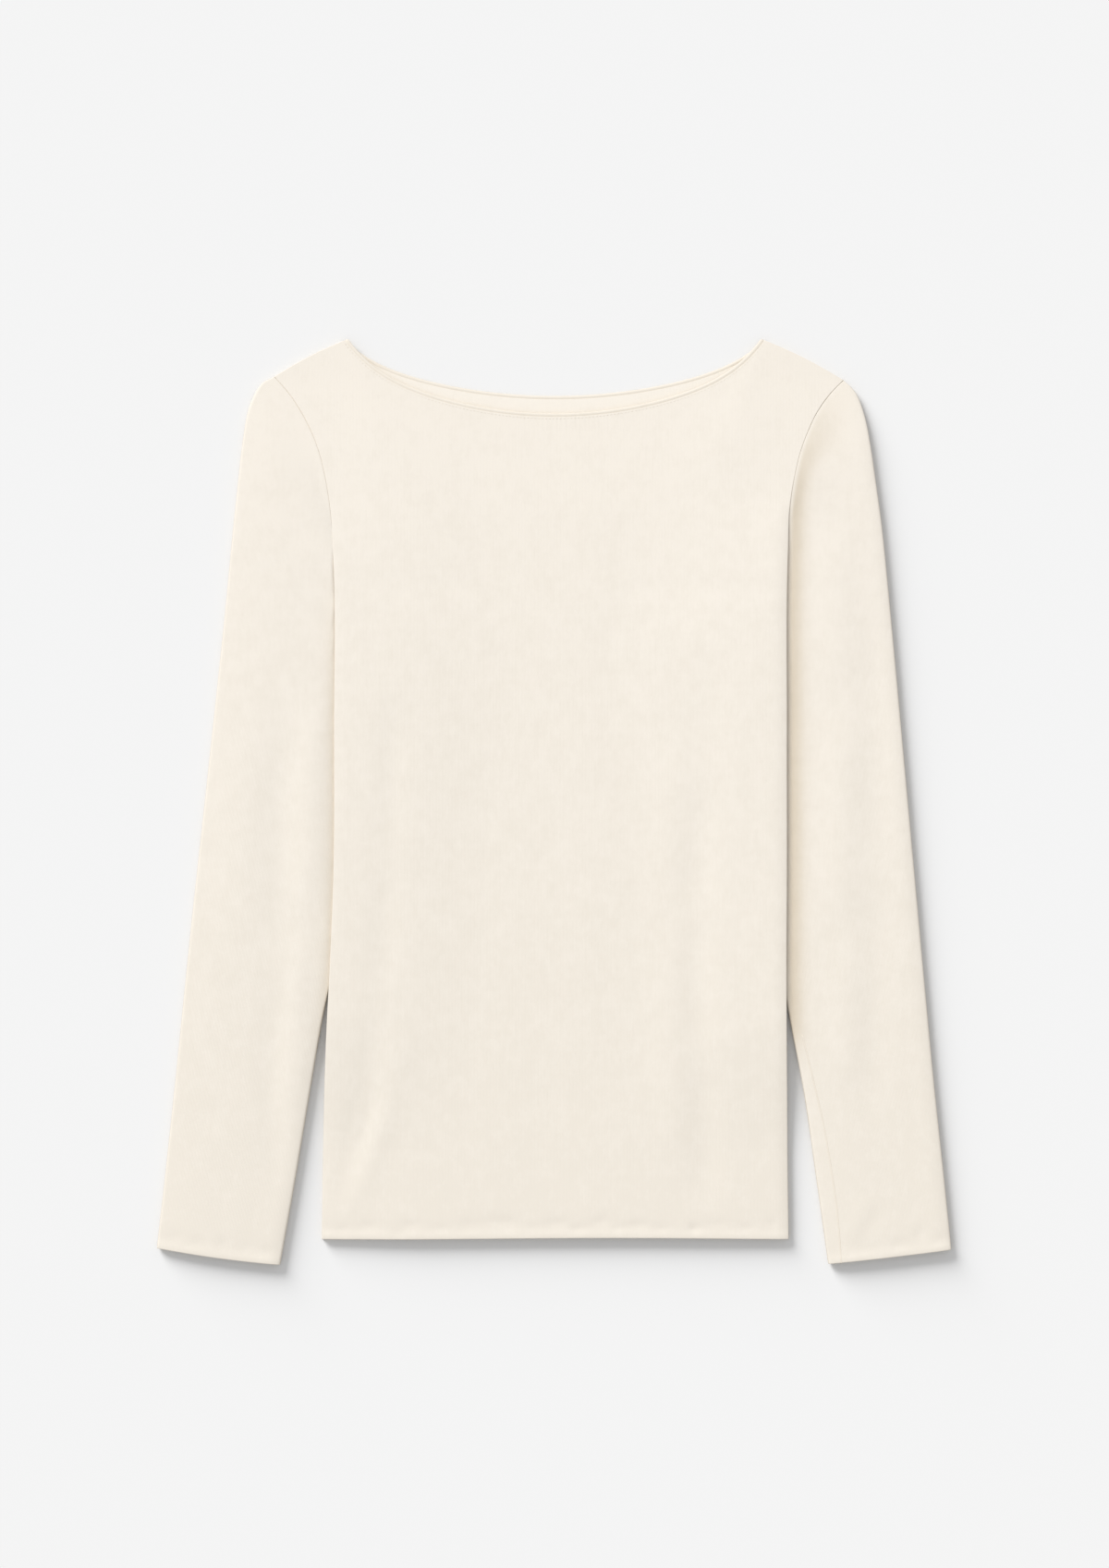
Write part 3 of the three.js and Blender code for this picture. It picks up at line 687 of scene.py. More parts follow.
def mesh_object(name, points, faces, uv, painted_shade=None):
    """Object with a mesh of points in millimetres, four-cornered faces and a map of the cloth in metres."""
    mesh = bpy.data.meshes.new(name)
    mesh.from_pydata((points * MM).tolist(), [], faces.tolist())
    layer = mesh.uv_layers.new(name="cloth")
    corners = np.empty(len(mesh.loops), dtype=np.int32)
    mesh.loops.foreach_get("vertex_index", corners)
    layer.data.foreach_set("uv", (uv[corners] * MM).ravel())
    # Painted shade for the material, stored on the points.
    if painted_shade is not None:
        mesh.attributes.new("painted_shade", "FLOAT", "POINT").data.foreach_set("value", painted_shade)
    mesh.validate()
    mesh.update()
    thing = bpy.data.objects.new(name, mesh)
    bpy.context.scene.collection.objects.link(thing)
    for polygon in mesh.polygons:
        polygon.use_smooth = True
    return thing


def grid_faces(grid, turned):
    """Four-cornered faces between a grid's rows of points, the other way round where they are turned."""
    corners = [grid[:-1, :-1], grid[:-1, 1:], grid[1:, 1:], grid[1:, :-1]]
    return np.stack(corners[::-1] if turned else corners, axis=-1).reshape(-1, 4)


def ring_faces(grid, turned):
    """Four-cornered faces between rows of points that each close to a ring."""
    return grid_faces(np.hstack([grid, grid[:, :1]]), turned)


def sheet_object(name, x, y, upper, lower):
    """Closed wall between an upper and a lower sheet that meet along a rounded rim."""
    numbers = np.arange(x.size).reshape(x.shape)
    inner = np.zeros(x.shape, dtype=bool)
    inner[1:-1, 1:-1] = True
    below = numbers.copy()
    below[inner] = x.size + np.arange(inner.sum())
    points = np.concatenate([
        np.stack([x, y, upper], axis=-1).reshape(-1, 3),
        np.stack([x, y, lower], axis=-1)[inner],
    ])
    faces = np.concatenate([grid_faces(numbers, False), grid_faces(below, True)])
    return mesh_object(name, points, faces, points[:, :2].copy())


def rounded_sheet(name, x, y, distances, underside, wall, detail):
    """Sheet of cloth on its underside's form, with rounded edges and its fine surface on the upper side."""
    growth = ease((UNDERARM_Y + SIDE_RADIUS_START - y) / SIDE_RADIUS_RUN)
    side_radius = ARMHOLE_RADIUS + SIDE_RADIUS_GROWTH * growth
    sides = np.minimum(distances["left"], distances["right"])
    full = roundness(sides, side_radius)
    full = full * roundness(distances["hem"], wall / 2) * roundness(distances["top"], TOP_RADIUS)
    middle = underside + wall / 2
    return sheet_object(name, x, y, middle + full * wall / 2 + detail * full, middle - full * wall / 2)


def back_panel():
    """Back of the body, whose underside lies on the surface."""
    x, y, distances = panel_plan(BACK_NECK, BACK_NECK_INSET, BACK_PITCH)
    lift = tuck_lift(x, y)
    return rounded_sheet("back_jersey", x, y, distances, lift, WALL, np.zeros_like(x))


def side_loft(side, distance, free):
    """Share of the front's loft at a distance from one side, rolled where that side is free."""
    share, run = FRONT_ROLL[side]
    rolled = share * free
    return rolled * roll(distance, run) + (1 - rolled) * even_ramp(distance / FRONT_RISE_RUN)


def front_loft(x, y, distances):
    """How far the front stands above its edges: rolled at the sides, low along the neck."""
    free = 1 - ease((y - ARMHOLE_LOFT_Y) / ARMHOLE_LOFT_RUN)
    side = np.minimum(*(side_loft(name, distances[name], free) for name in ("left", "right")))
    neck = even_ramp(distances["top"] / NECK_RISE_RUN)
    folds = fold_height(FRONT_FOLDS, x, y) * np.minimum(1.0, side + EDGE_FOLD_SHARE)
    loft = FRONT_LOFT * side * (NECK_LOFT_SHARE + (1 - NECK_LOFT_SHARE) * neck)
    return np.maximum(0.0, loft + folds * neck)


def wander(x, seed):
    """Slow uneven wave between about 0 and 1 along an edge."""
    first, second, third = WANDER_LENGTHS
    slow = np.sin(x / first + seed) * np.sin(x / second + 2 * seed)
    return 0.5 + 0.25 * slow + 0.25 * np.sin(x / third + 3 * seed)


def hem_detail(distance, x, y, dimples, seed):
    """Turned edge: a soft uneven lip at the end and a shallow hollow behind it."""
    height = LIP_HEIGHTS[0] + LIP_HEIGHTS[1] * wander(x, seed)
    lip = height * np.exp(-(((distance - LIP_AT) / LIP_RUN) ** 2))
    run = np.where(distance > HOLLOW_AT, *HOLLOW_RUNS)
    depth = HOLLOW_HEIGHTS[0] + HOLLOW_HEIGHTS[1] * wander(x, seed + HOLLOW_SEED)
    hollow = depth * np.exp(-(((distance - HOLLOW_AT) / run) ** 2))
    return lip - hollow - DIMPLE_STRENGTH * dimple_depth(dimples, x, y)


def front_panel():
    """Front of the body, lying on the back."""
    x, y, distances = panel_plan(FRONT_NECK, 0.0, FRONT_PITCH)
    loft = front_loft(x, y, distances)
    underside = WALL + SEAM_GAP + np.maximum(broad_lift(x, y) + loft, tuck_lift(x, y))
    detail = hem_detail(distances["hem"], x, y, HEM_DIMPLES, HEM_SEED)
    return rounded_sheet("front_jersey", x, y, distances, underside, WALL, detail)


def sleeve_table(side):
    """Rows of a sleeve's rings, close together at the armhole and the cuff, and their places along it."""
    rows = SLEEVE_ROWS[side]
    lengths = lengths_along((rows[:, :2] + rows[:, 2:4]) / 2)
    places = np.arange(len(rows), dtype=float)
    stations = np.interp(spaced(lengths[-1], EDGE_STEPS, SLEEVE_PITCH), lengths, places)
    table = np.stack([smooth_column(places, column, stations) for column in rows.T], axis=1)
    return table, lengths_along((table[:, :2] + table[:, 2:4]) / 2)


def sleeve_place(side, row, share):
    """Places across a sleeve's row, at shares of the way from its outer to its inner fold."""
    held = np.clip(share, 0.0, 1.0)
    tip_x, tip_y = SHOULDER_TIP[side]
    seam_y = tip_y + (UNDERARM_Y - tip_y) * held
    seam_x = np.where(held > 0, edge_x(side, seam_y), tip_x)
    chord_x = tip_x + (float(edge_x(side, UNDERARM_Y)) - tip_x) * held
    away = -ARMHOLE_CLEARANCE if side == "left" else ARMHOLE_CLEARANCE
    x = row[0] + (row[2] - row[0]) * share + row[4] * (seam_x - chord_x + away)
    y = row[1] + (row[3] - row[1]) * share
    return x, y


def sleeve_top(side, distance, width, x, y, cuff_distance):
    """Height of a sleeve's upper face before its folds are rounded."""
    outward = outward_from_body(side, x, y)
    outer_run, inner_run = SLEEVE_ROLL_RUNS[side]
    open_share = np.minimum(roll(distance, outer_run), roll(width - distance, inner_run))
    loft = (SLEEVE_LOFT + fold_height(SLEEVE_FOLDS[side], x, y)) * open_share
    own = SLEEVE_FLAT + np.maximum(SLEEVE_LEAST_LOFT, loft)
    cover = ease((y - COVER_Y) / COVER_RUN)
    least, growth, from_y, run = SEAM_REACH[side]
    reach = least + growth * ease((y - from_y) / run)
    height = own + (seam_level(side, y) - own) * cover * np.exp(-np.maximum(0.0, outward) / reach)
    under = ease((-UNDER_START - outward) / UNDER_RUN) * ease((UNDERARM_Y + UNDER_TOP - y) / UNDER_TOP_RUN)
    height = height + (SLEEVE_FLAT - UNDER_SINK - height) * under * cover
    detail = hem_detail(cuff_distance, x, y, CUFF_DIMPLES[side], CUFF_SEED)
    return height + detail * roll(width - distance, CUFF_DETAIL_RUN)


def closed_loop(x, y, upper, lower):
    """Points around a flattened ring: over its upper side and back under its lower side."""
    return np.concatenate([np.stack([x, y, upper], axis=1), np.stack([x, y, lower], axis=1)[-2:0:-1]])


def sleeve_ring(side, row, shares, from_armhole, from_cuff):
    """Outer and inner loop of one ring of a sleeve, and the cloth's map around it."""
    width = math.hypot(row[2] - row[0], row[3] - row[1])
    distance = shares * width
    inset = (WALL + distance * (width - 2 * WALL) / width) / width
    bow = CUFF_BOW[side] * float(ease(1 - from_cuff / CUFF_BOW_RUN)) * np.sin(np.pi * shares)
    x, y = sleeve_place(side, row, shares)
    in_x, in_y = sleeve_place(side, row, inset)
    y = y - bow
    in_y = in_y - bow
    middle_z = SLEEVE_FLAT / 2
    top = sleeve_top(side, distance, width, x, y, np.full_like(x, from_cuff)) - middle_z
    radius = SLEEVE_RADIUS + SLEEVE_RADIUS_GROWTH * float(ease(from_armhole / SLEEVE_RADIUS_RUN))
    from_fold = np.minimum(distance, width - distance)
    full = roundness(from_fold, radius)
    full_below = roundness(from_fold, BELOW_RADIUS_SHARE * radius, BELOW_ROUND_POWER)
    outer = closed_loop(x, y, middle_z + top * full, middle_z * (1 - full_below))
    in_upper = middle_z + (top - WALL) * full
    inner = closed_loop(in_x, in_y, in_upper, middle_z - (middle_z - WALL) * full_below)
    end_radius = ARMHOLE_RADIUS if from_armhole < from_cuff else WALL / 2
    thickness = float(roundness(min(from_armhole, from_cuff), end_radius))
    centre = (outer + inner) / 2
    around = np.concatenate([distance, 2 * width - distance[-2:0:-1]])
    place = np.stack([around, np.full_like(around, -from_armhole)], axis=1)
    return centre + (outer - centre) * thickness, centre + (inner - centre) * thickness, place


def sleeve_painted_shade(side, points):
    """Painted shade on a sleeve's cloth beside the body, for the body's shadow and the shade beneath its
    edge.
    """
    y = points[:, 1]
    outward = np.maximum(0.0, np.abs(points[:, 0]) - np.abs(edge_x(side, y)))
    share = PAINTED_SHADE_SHARE[side]
    reach = PAINTED_SHADE_REACH[side]
    if side == "right":
        share = share * ease(outward / PAINTED_SHADE_RISE)
        reach = reach + PAINTED_SHADE_REACH_GROWTH * ease((y - PAINTED_SHADE_REACH_Y) / PAINTED_SHADE_REACH_RUN)
    top_y, top_run = PAINTED_SHADE_TOP[side]
    bottom_y, bottom_run = PAINTED_SHADE_BOTTOM
    fade = ease((top_y - y) / top_run) * ease((y - bottom_y) / bottom_run)
    return share * np.exp(-(((outward - PAINTED_SHADE_MIDDLE[side]) / reach) ** 2)) * fade


def sleeve(side, name):
    """Flattened tube of cloth, open at the armhole and at the cuff."""
    table, along = sleeve_table(side)
    shares = spaced(100.0, EDGE_STEPS, SLEEVE_COLUMN_PITCH) / 100.0
    rings = [sleeve_ring(side, row, shares, at, along[-1] - at) for row, at in zip(table, along)]
    outside, inside, maps = (np.array(part) for part in zip(*rings))
    count = outside.shape[1]
    outer_points = outside.reshape(-1, 3)
    numbers = np.arange(len(outer_points)).reshape(-1, count)
    below = numbers.copy()
    below[1:-1] = len(outer_points) + np.arange((len(table) - 2) * count).reshape(-1, count)
    points = np.concatenate([outer_points, inside[1:-1].reshape(-1, 3)])
    uv = np.concatenate([maps.reshape(-1, 2), maps[1:-1].reshape(-1, 2)])
    turned = side == "left"
    faces = np.concatenate([ring_faces(numbers, turned), ring_faces(below, not turned)])
    return mesh_object(name, points, faces, uv, sleeve_painted_shade(side, points))


def strip(name, centre, sideways, half_width, half_height, corners, tilt=0.0):
    """Narrow closed strip along a line, given its sideways directions and half sizes at each point."""
    steps = len(centre)
    turns = 2 * math.pi * np.arange(corners) / corners
    along = lengths_along(centre)
    rings = []
    maps = []
    for index in range(steps):
        out = np.cos(turns)[:, None] * half_width[index] * sideways[index]
        rise = np.sin(turns) * half_height[index] + np.cos(turns) * half_width[index] * tilt
        up = rise[:, None] * np.array([0.0, 0.0, 1.0])
        rings.append(centre[index] + out + up)
        maps.append(np.stack([turns * half_width[index], np.full(corners, along[index])], axis=1))
    points = np.array(rings).reshape(-1, 3)
    uv = np.array(maps).reshape(-1, 2)
    numbers = np.arange(steps * corners).reshape(steps, corners)
    thing = mesh_object(name, points, ring_faces(numbers, True), uv)
    turn_outward(thing, fill=True)
    return thing


def neck_line(neck, inset, steps):
    """Points along a panel's neck edge from corner to corner, and the directions out of the panel."""
    left = neck_corner("left", neck, inset)[0]
    right = neck_corner("right", neck, inset)[0]
    even = np.linspace(-1.0, 1.0, steps)
    crowded = np.sin(even * math.pi / 2)
    across = NECK_CORNER_CROWDING * crowded + (1 - NECK_CORNER_CROWDING) * even
    x = left + (right - left) * (across + 1) / 2
    y = neck_inset_y(neck, x, inset)
    tangent = np.stack([np.gradient(x), np.gradient(y)], axis=1)
    tangent /= np.linalg.norm(tangent, axis=1)[:, None]
    outward = np.stack([-tangent[:, 1], tangent[:, 0], np.zeros(steps)], axis=1)
    return np.stack([x, y, np.zeros(steps)], axis=1), outward


def binding_rim(name, neck, inset, middle_z):
    """Narrow rolled binding along a panel's neck edge."""
    line, outward = neck_line(neck, inset, BINDING_STEPS)
    along = lengths_along(line)
    ends = roundness(np.minimum(along, along[-1] - along), BINDING_END_RADIUS)
    ends = np.maximum(BINDING_END_SHARE, ends)
    pucker = 1 + sum(share * np.sin(2 * math.pi * along / length) for share, length in BINDING_PUCKERS)
    half_width = (BINDING_WIDTH + BINDING_OVERLAP) / 2
    centre = line + outward * (half_width - BINDING_OVERLAP)
    centre[:, 2] = middle_z
    half_widths = half_width * ends * pucker
    half_heights = BINDING_HALF_HEIGHT * ends
    return strip(name, centre, outward, half_widths, half_heights, BINDING_CORNERS, BINDING_TILT)


def armhole_tape(side, name):
    """Sewn turnings that close the armhole seam from beneath its two edges."""
    y = np.linspace(SHOULDER_TIP[side][1] - TAPE_TOP_MARGIN, UNDERARM_Y - TAPE_BOTTOM_REACH, TAPE_STEPS)
    sign = -1.0 if side == "left" else 1.0
    body_level = edge_lift(side, y) + 2 * WALL + SEAM_GAP
    sink = TAPE_DEPTH + TAPE_SINK * ease((UNDERARM_Y + TAPE_SINK_RUN - y) / TAPE_SINK_RUN)
    middle = np.minimum(seam_level(side, y), body_level) - sink - TAPE_HALF_HEIGHT
    counted = np.arange(TAPE_STEPS)
    ends = np.maximum(TAPE_END_SHARE, roundness(np.minimum(counted, counted[::-1]), TAPE_END_STEPS))
    centre = np.stack([edge_x(side, y) + sign * ARMHOLE_CLEARANCE / 2, y, middle], axis=1)
    sideways = np.tile(np.array([1.0, 0.0, 0.0]), (TAPE_STEPS, 1))
    return strip(name, centre, sideways, TAPE_HALF_WIDTH * ends, TAPE_HALF_HEIGHT * ends, TAPE_CORNERS)


def underarm_seam(name):
    """Fine raised seam along the sleeve whose underarm shows on its upper side."""
    y = np.linspace(UNDERARM_SEAM[0, 1], UNDERARM_SEAM[-1, 1], SEAM_STEPS)
    x = smooth_column(-UNDERARM_SEAM[:, 1], UNDERARM_SEAM[:, 0], -y)
    rows = SLEEVE_ROWS["right"][::-1]
    inner_x = smooth_column(rows[:, 3], rows[:, 2], y)
    outer_x = smooth_column(rows[:, 1], rows[:, 0], y)
    cuff = y - UNDERARM_SEAM[-1, 1] + SEAM_CUFF_MARGIN
    z = sleeve_top("right", outer_x - x, outer_x - inner_x, x, y, cuff)
    centre = np.stack([x, y, z - SEAM_DEPTH], axis=1)
    sideways = np.tile(np.array([1.0, 0.0, 0.0]), (SEAM_STEPS, 1))
    half_widths = np.full(SEAM_STEPS, SEAM_HALF_WIDTH)
    return strip(name, centre, sideways, half_widths, np.full(SEAM_STEPS, SEAM_HALF_HEIGHT), SEAM_CORNERS)


def stitch_faces(first):
    """Faces of one stitch whose points start at a number: its sides and both ends."""
    corners = STITCH_CORNERS
    faces = []
    for row in range(len(STITCH_RINGS) - 1):
        for corner in range(corners):
            a = first + row * corners + corner
            b = first + row * corners + (corner + 1) % corners
            faces.append((a, b, b + corners, a + corners))
    last = first + (len(STITCH_RINGS) - 1) * corners
    for corner in (corners - 1, corners - 3):
        faces.append((first, first + corner, first + corner - 1, first + corner - 2))
    for corner in (1, 3):
        faces.append((last, last + corner, last + corner + 1, last + corner + 2))
    return faces


def neck_stitches(name):
    """Row of fine stitches that hold the front neck's turned edge."""
    line, outward = neck_line(FRONT_NECK, STITCH_INSET, STITCH_LINE_STEPS)
    along = lengths_along(line)
    top = 2 * WALL + SEAM_GAP + NECK_LOFT + STITCH_LIFT
    turns = 2 * math.pi * np.arange(STITCH_CORNERS) / STITCH_CORNERS
    points = []
    faces = []
    for place in np.arange(STITCH_MARGIN, along[-1] - STITCH_MARGIN, STITCH_PITCH):
        centre = np.array([np.interp(place, along, line[:, k]) for k in range(3)])
        out = np.array([np.interp(place, along, outward[:, k]) for k in range(3)])
        run = np.array([out[1], -out[0], 0.0])
        centre[2] = top
        faces.extend(stitch_faces(len(points)))
        for offset, share in STITCH_RINGS:
            for turn in turns:
                up = np.array([0, 0, math.sin(turn) * STITCH_HALF_HEIGHT * share])
                points.append(centre + run * offset + out * math.cos(turn) * STITCH_HALF_WIDTH * share + up)
    points = np.array(points)
    thing = mesh_object(name, points, np.array(faces), points[:, :2].copy())
    turn_outward(thing)
    return thing


def turn_outward(thing, fill=False):
    """Turns a mesh's faces outward, once its open ends are filled where it has them."""
    bpy.ops.object.select_all(action="DESELECT")
    thing.select_set(True)
    bpy.context.view_layer.objects.active = thing
    bpy.ops.object.mode_set(mode="EDIT")
    if fill:
        bpy.ops.mesh.select_mode(type="EDGE")
        bpy.ops.mesh.select_all(action="DESELECT")
        bpy.ops.mesh.select_non_manifold(extend=False)
        bpy.ops.mesh.fill_holes(sides=0)
    bpy.ops.mesh.select_all(action="SELECT")
    bpy.ops.mesh.normals_make_consistent(inside=False)
    bpy.ops.object.mode_set(mode="OBJECT")
    thing.select_set(False)


def add_math(tree, operation, *values, clamp=False):
    """Math node on its inputs, each a socket or a number."""
    node = tree.nodes.new("ShaderNodeMath")
    node.operation = operation
    node.use_clamp = clamp
    for socket, value in zip(node.inputs, values):
        if isinstance(value, bpy.types.NodeSocket):
            tree.links.new(value, socket)
        else:
            socket.default_value = value
    return node.outputs[0]


def add_noise(tree, vector, scale, detail, roughness=0.5):
    """Noise texture's value at a scale per metre."""
    node = tree.nodes.new("ShaderNodeTexNoise")
    node.inputs["Scale"].default_value = scale
    node.inputs["Detail"].default_value = detail
    node.inputs["Roughness"].default_value = roughness
    tree.links.new(vector, node.inputs["Vector"])
    return node.outputs[0]


def split_vector(tree, vector):
    """The three parts of a vector."""
    node = tree.nodes.new("ShaderNodeSeparateXYZ")
    tree.links.new(vector, node.inputs[0])
    return node.outputs


def add_range(tree, value, value_from, value_to, curve="LINEAR"):
    """Runs from 0 to 1 while a value runs between two others."""
    node = tree.nodes.new("ShaderNodeMapRange")
    node.interpolation_type = curve
    node.inputs["From Min"].default_value = value_from
    node.inputs["From Max"].default_value = value_to
    tree.links.new(value, node.inputs["Value"])
    return node.outputs[0]


def add_tint(tree, colour, tone, share):
    """A colour multiplied by a tone to a share."""
    node = tree.nodes.new("ShaderNodeMix")
    node.data_type = "RGBA"
    node.blend_type = "MULTIPLY"
    node.inputs["B"].default_value = (*tone, 1.0)
    tree.links.new(share, node.inputs["Factor"])
    tree.links.new(colour, node.inputs["A"])
    return node.outputs["Result"]


def knit_height(tree, wale, course):
    """Height of the knit's columns of loops, from the cloth's own map."""
    coordinates = tree.nodes.new("ShaderNodeUVMap")
    coordinates.uv_map = "cloth"
    across, along, _ = split_vector(tree, coordinates.outputs[0])
    leg = add_math(tree, "PINGPONG", add_math(tree, "MULTIPLY", across, 1 / wale), 0.5)
    rib = add_math(tree, "SINE", add_math(tree, "MULTIPLY", leg, math.pi))
    slant = add_math(tree, "MULTIPLY", leg, LOOP_SLANT)
    row = add_math(tree, "ADD", add_math(tree, "MULTIPLY", along, 1 / course), slant)
    loop = add_math(tree, "SINE", add_math(tree, "MULTIPLY", row, 2 * math.pi))
    loop_part = add_math(tree, "MULTIPLY", loop, 1 - RIB_SHARE)
    return add_math(tree, "ADD", add_math(tree, "MULTIPLY", rib, RIB_SHARE), loop_part)


def band(tree, value, centre, half_width):
    """Runs from 1 at a centre down to 0 at a distance from it."""
    away = add_math(tree, "ABSOLUTE", add_math(tree, "SUBTRACT", value, centre))
    return add_math(tree, "SUBTRACT", 1.0, add_math(tree, "DIVIDE", away, half_width), clamp=True)


def pucker_height(tree, across, up):
    """Fine upright puckers under the middle of the front neck's seam."""
    waves = [add_math(tree, "SINE", add_math(tree, "MULTIPLY", across, turn)) for turn in PUCKER_WAVES]
    near = [band(tree, value, *place) for value, *place in zip((across, up), PUCKER_MIDDLE, PUCKER_REACH)]
    strength = add_math(tree, "MULTIPLY", add_math(tree, "MULTIPLY", *near), PUCKER_STRENGTH)
    return add_math(tree, "MULTIPLY", add_math(tree, "ADD", *waves), strength)


def steepness(tree):
    """Runs from 0 on level cloth to 1 on the upright part of an edge."""
    normal = tree.nodes.new("ShaderNodeNewGeometry").outputs["Normal"]
    return add_range(tree, split_vector(tree, normal)[2], *PAINTED_RIM_SHADE_RANGE, "SMOOTHSTEP")


def cloud_and_painted_shade(tree, place, up):
    """Soft blotches and upright streaks, with painted shade that deepens toward the hem."""
    cloud = add_noise(tree, place, CLOUD_SCALE, CLOUD_DETAIL, CLOUD_ROUGHNESS)
    squeeze = tree.nodes.new("ShaderNodeMapping")
    squeeze.inputs["Scale"].default_value = (1.0, STREAK_SQUEEZE, 1.0)
    tree.links.new(place, squeeze.inputs["Vector"])
    streak = add_noise(tree, squeeze.outputs[0], STREAK_SCALE, FINE_DETAIL)
    streak_part = add_math(tree, "MULTIPLY", streak, 1 - CLOUD_SHARE)
    mixed = add_math(tree, "ADD", add_math(tree, "MULTIPLY", cloud, CLOUD_SHARE), streak_part)
    mixed = add_math(tree, "MULTIPLY", add_range(tree, mixed, *CLOUD_RANGE), TONE_SPREAD)
    # Painted shade: the colour deepens steadily from the neck down toward the hem.
    mixed = add_math(tree, "ADD", mixed, add_math(tree, "MULTIPLY_ADD", up, PAINTED_HEM_SHADE_RISE, PAINTED_HEM_SHADE_START))
    return add_math(tree, "SUBTRACT", mixed, TONE_DROP, clamp=True)


def jersey_material(name, colour, shade, settings):
    """Matt jersey: fine knit and fuzz as bump, a soft mottle in its colour, and painted shade toward the
    hem, beside the body and on upright edges.
    """
    material = bpy.data.materials.new(name)
    material.use_nodes = True
    tree = material.node_tree
    shader = tree.nodes["Principled BSDF"]
    place = tree.nodes.new("ShaderNodeTexCoord").outputs["Object"]
    across, up, _ = split_vector(tree, place)
    colours = tree.nodes.new("ShaderNodeMix")
    colours.data_type = "RGBA"
    colours.inputs["A"].default_value = (*shade, 1.0)
    colours.inputs["B"].default_value = (*colour, 1.0)
    tree.links.new(cloud_and_painted_shade(tree, place, up), colours.inputs["Factor"])
    # Painted shade beside the body: the sleeves' point attribute darkens and warms the colour.
    painted_shade = tree.nodes.new("ShaderNodeAttribute")
    painted_shade.attribute_name = "painted_shade"
    tinted = add_tint(tree, colours.outputs["Result"], settings.painted_shade_tone, painted_shade.outputs["Fac"])
    # Painted shade on the upright parts of the edges, where the light falls on them.
    tinted = add_tint(tree, tinted, settings.painted_rim_shade, steepness(tree))
    tree.links.new(tinted, shader.inputs["Base Color"])
    fuzz = add_noise(tree, place, FUZZ_SCALE, FINE_DETAIL)
    height = add_math(tree, "ADD", knit_height(tree, settings.wale, settings.course), fuzz)
    height = add_math(tree, "ADD", height, pucker_height(tree, across, up))
    bump = tree.nodes.new("ShaderNodeBump")
    bump.inputs["Strength"].default_value = settings.knit_strength
    bump.inputs["Distance"].default_value = settings.knit_depth
    tree.links.new(height, bump.inputs["Height"])
    tree.links.new(bump.outputs[0], shader.inputs["Normal"])
    for socket, value in JERSEY_SURFACE.items():
        shader.inputs[socket].default_value = value
    return material


def colour_setting(name, description, default):
    """Setting that is a colour."""
    return FloatVectorProperty(
        name=name, description=description, subtype="COLOR", size=3, min=0, max=1, default=default)


def strength_setting(name, description, default):
    """Setting of a light's strength."""
    return FloatProperty(name=name, description=description, min=0, default=default)


def length_setting(name, description, default):
    """Setting in metres."""
    return FloatProperty(name=name, description=description, unit="LENGTH", default=default, precision=5)


def angle_setting(name, description, degrees):
    """Setting that is an angle."""
    return FloatProperty(name=name, description=description, subtype="ANGLE", default=math.radians(degrees))


class ClothSettings(PropertyGroup):
    """Colours and knit of the jersey."""

    cream: colour_setting("Cream", "Colour of the jersey's outside", (0.826, 0.770, 0.690))
    cream_shade: colour_setting("Cream shade", "Deeper tone of the outside", (0.782, 0.726, 0.642))
    inside: colour_setting("Inside", "Colour of the jersey's inside", (0.856, 0.801, 0.720))
    inside_shade: colour_setting("Inside shade", "Deeper tone of the inside", (0.826, 0.767, 0.683))
    # The bound edges' colours are their own tone, deepened as painted shade for the shade on the rolled
    # neck rims and along the seams.
    binding: colour_setting("Binding", "Colour of the bound edges", (0.815, 0.755, 0.665))
    binding_shade: colour_setting("Binding shade", "Deeper tone of the bound edges", (0.78, 0.715, 0.62))
    # Painted shade tone: the warm darkening painted where the body shades the sleeves.
    painted_shade_tone: colour_setting("Painted shade tone", "Warm tint of the painted shade beside the body", (0.76, 0.70, 0.60))
    # Painted rim shade: darkening painted on the upright parts of the rounded edges.
    painted_rim_shade: colour_setting("Painted rim shade", "Painted shade on the upright part of a rounded edge", (0.86, 0.84, 0.80))
    wale: length_setting("Wale", "Width of one column of knit loops", 0.0009)
    course: length_setting("Course", "Height of one row of knit loops", 0.0007)
    knit_depth: length_setting("Knit depth", "Height of the knit's relief", 0.00012)
    knit_strength: FloatProperty(name="Knit strength", description="Share of the relief that shows",
                                 subtype="FACTOR", min=0, max=1, default=0.5)


class StageSettings(PropertyGroup):
    """Floor, light and camera."""

    floor_colour: colour_setting("Floor", "Colour of the ground", (0.8, 0.8, 0.8))
    ambient: strength_setting("Ambient", "Strength of the even light all round", 0.61)
    key_strength: strength_setting("Key strength", "Strength of the wide soft light", 2.336)
    key_width: angle_setting("Key width", "Width of the soft light as an angle", 40)
    key_elevation: angle_setting("Key elevation", "Angle of the light above the ground", 45)
    key_azimuth: angle_setting("Key azimuth", "Direction of the light, turned from +X", 128)
    low_strength: strength_setting("Low key strength", "Strength of the light on the ground", 5.5)
    low_width: angle_setting("Low key width", "Width of the ground's light as an angle", 32)
    low_elevation: angle_setting("Low key elevation", "Angle of the ground's light above it", 17.5)
    camera_height: length_setting("Camera height", "Height of the camera above the ground", 3.0)
    view_length: length_setting("View length", "Length of ground along the picture's long side", 1.086)
    view_centre: length_setting("View centre", "Y of the ground at the picture's middle", 0.0128)


def dress(thing, node, material):
    """Gives a piece its material and puts it in the place of its solid."""
    thing.data.materials.append(material)
    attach(thing, BODY)
    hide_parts(node)


def shared_material(name, colour, shade):
    """The named jersey, made once."""
    found = bpy.data.materials.get(name)
    if found is None:
        settings = bpy.context.scene.cloth_settings
        found = jersey_material(name, getattr(settings, colour), getattr(settings, shade), settings)
    return found


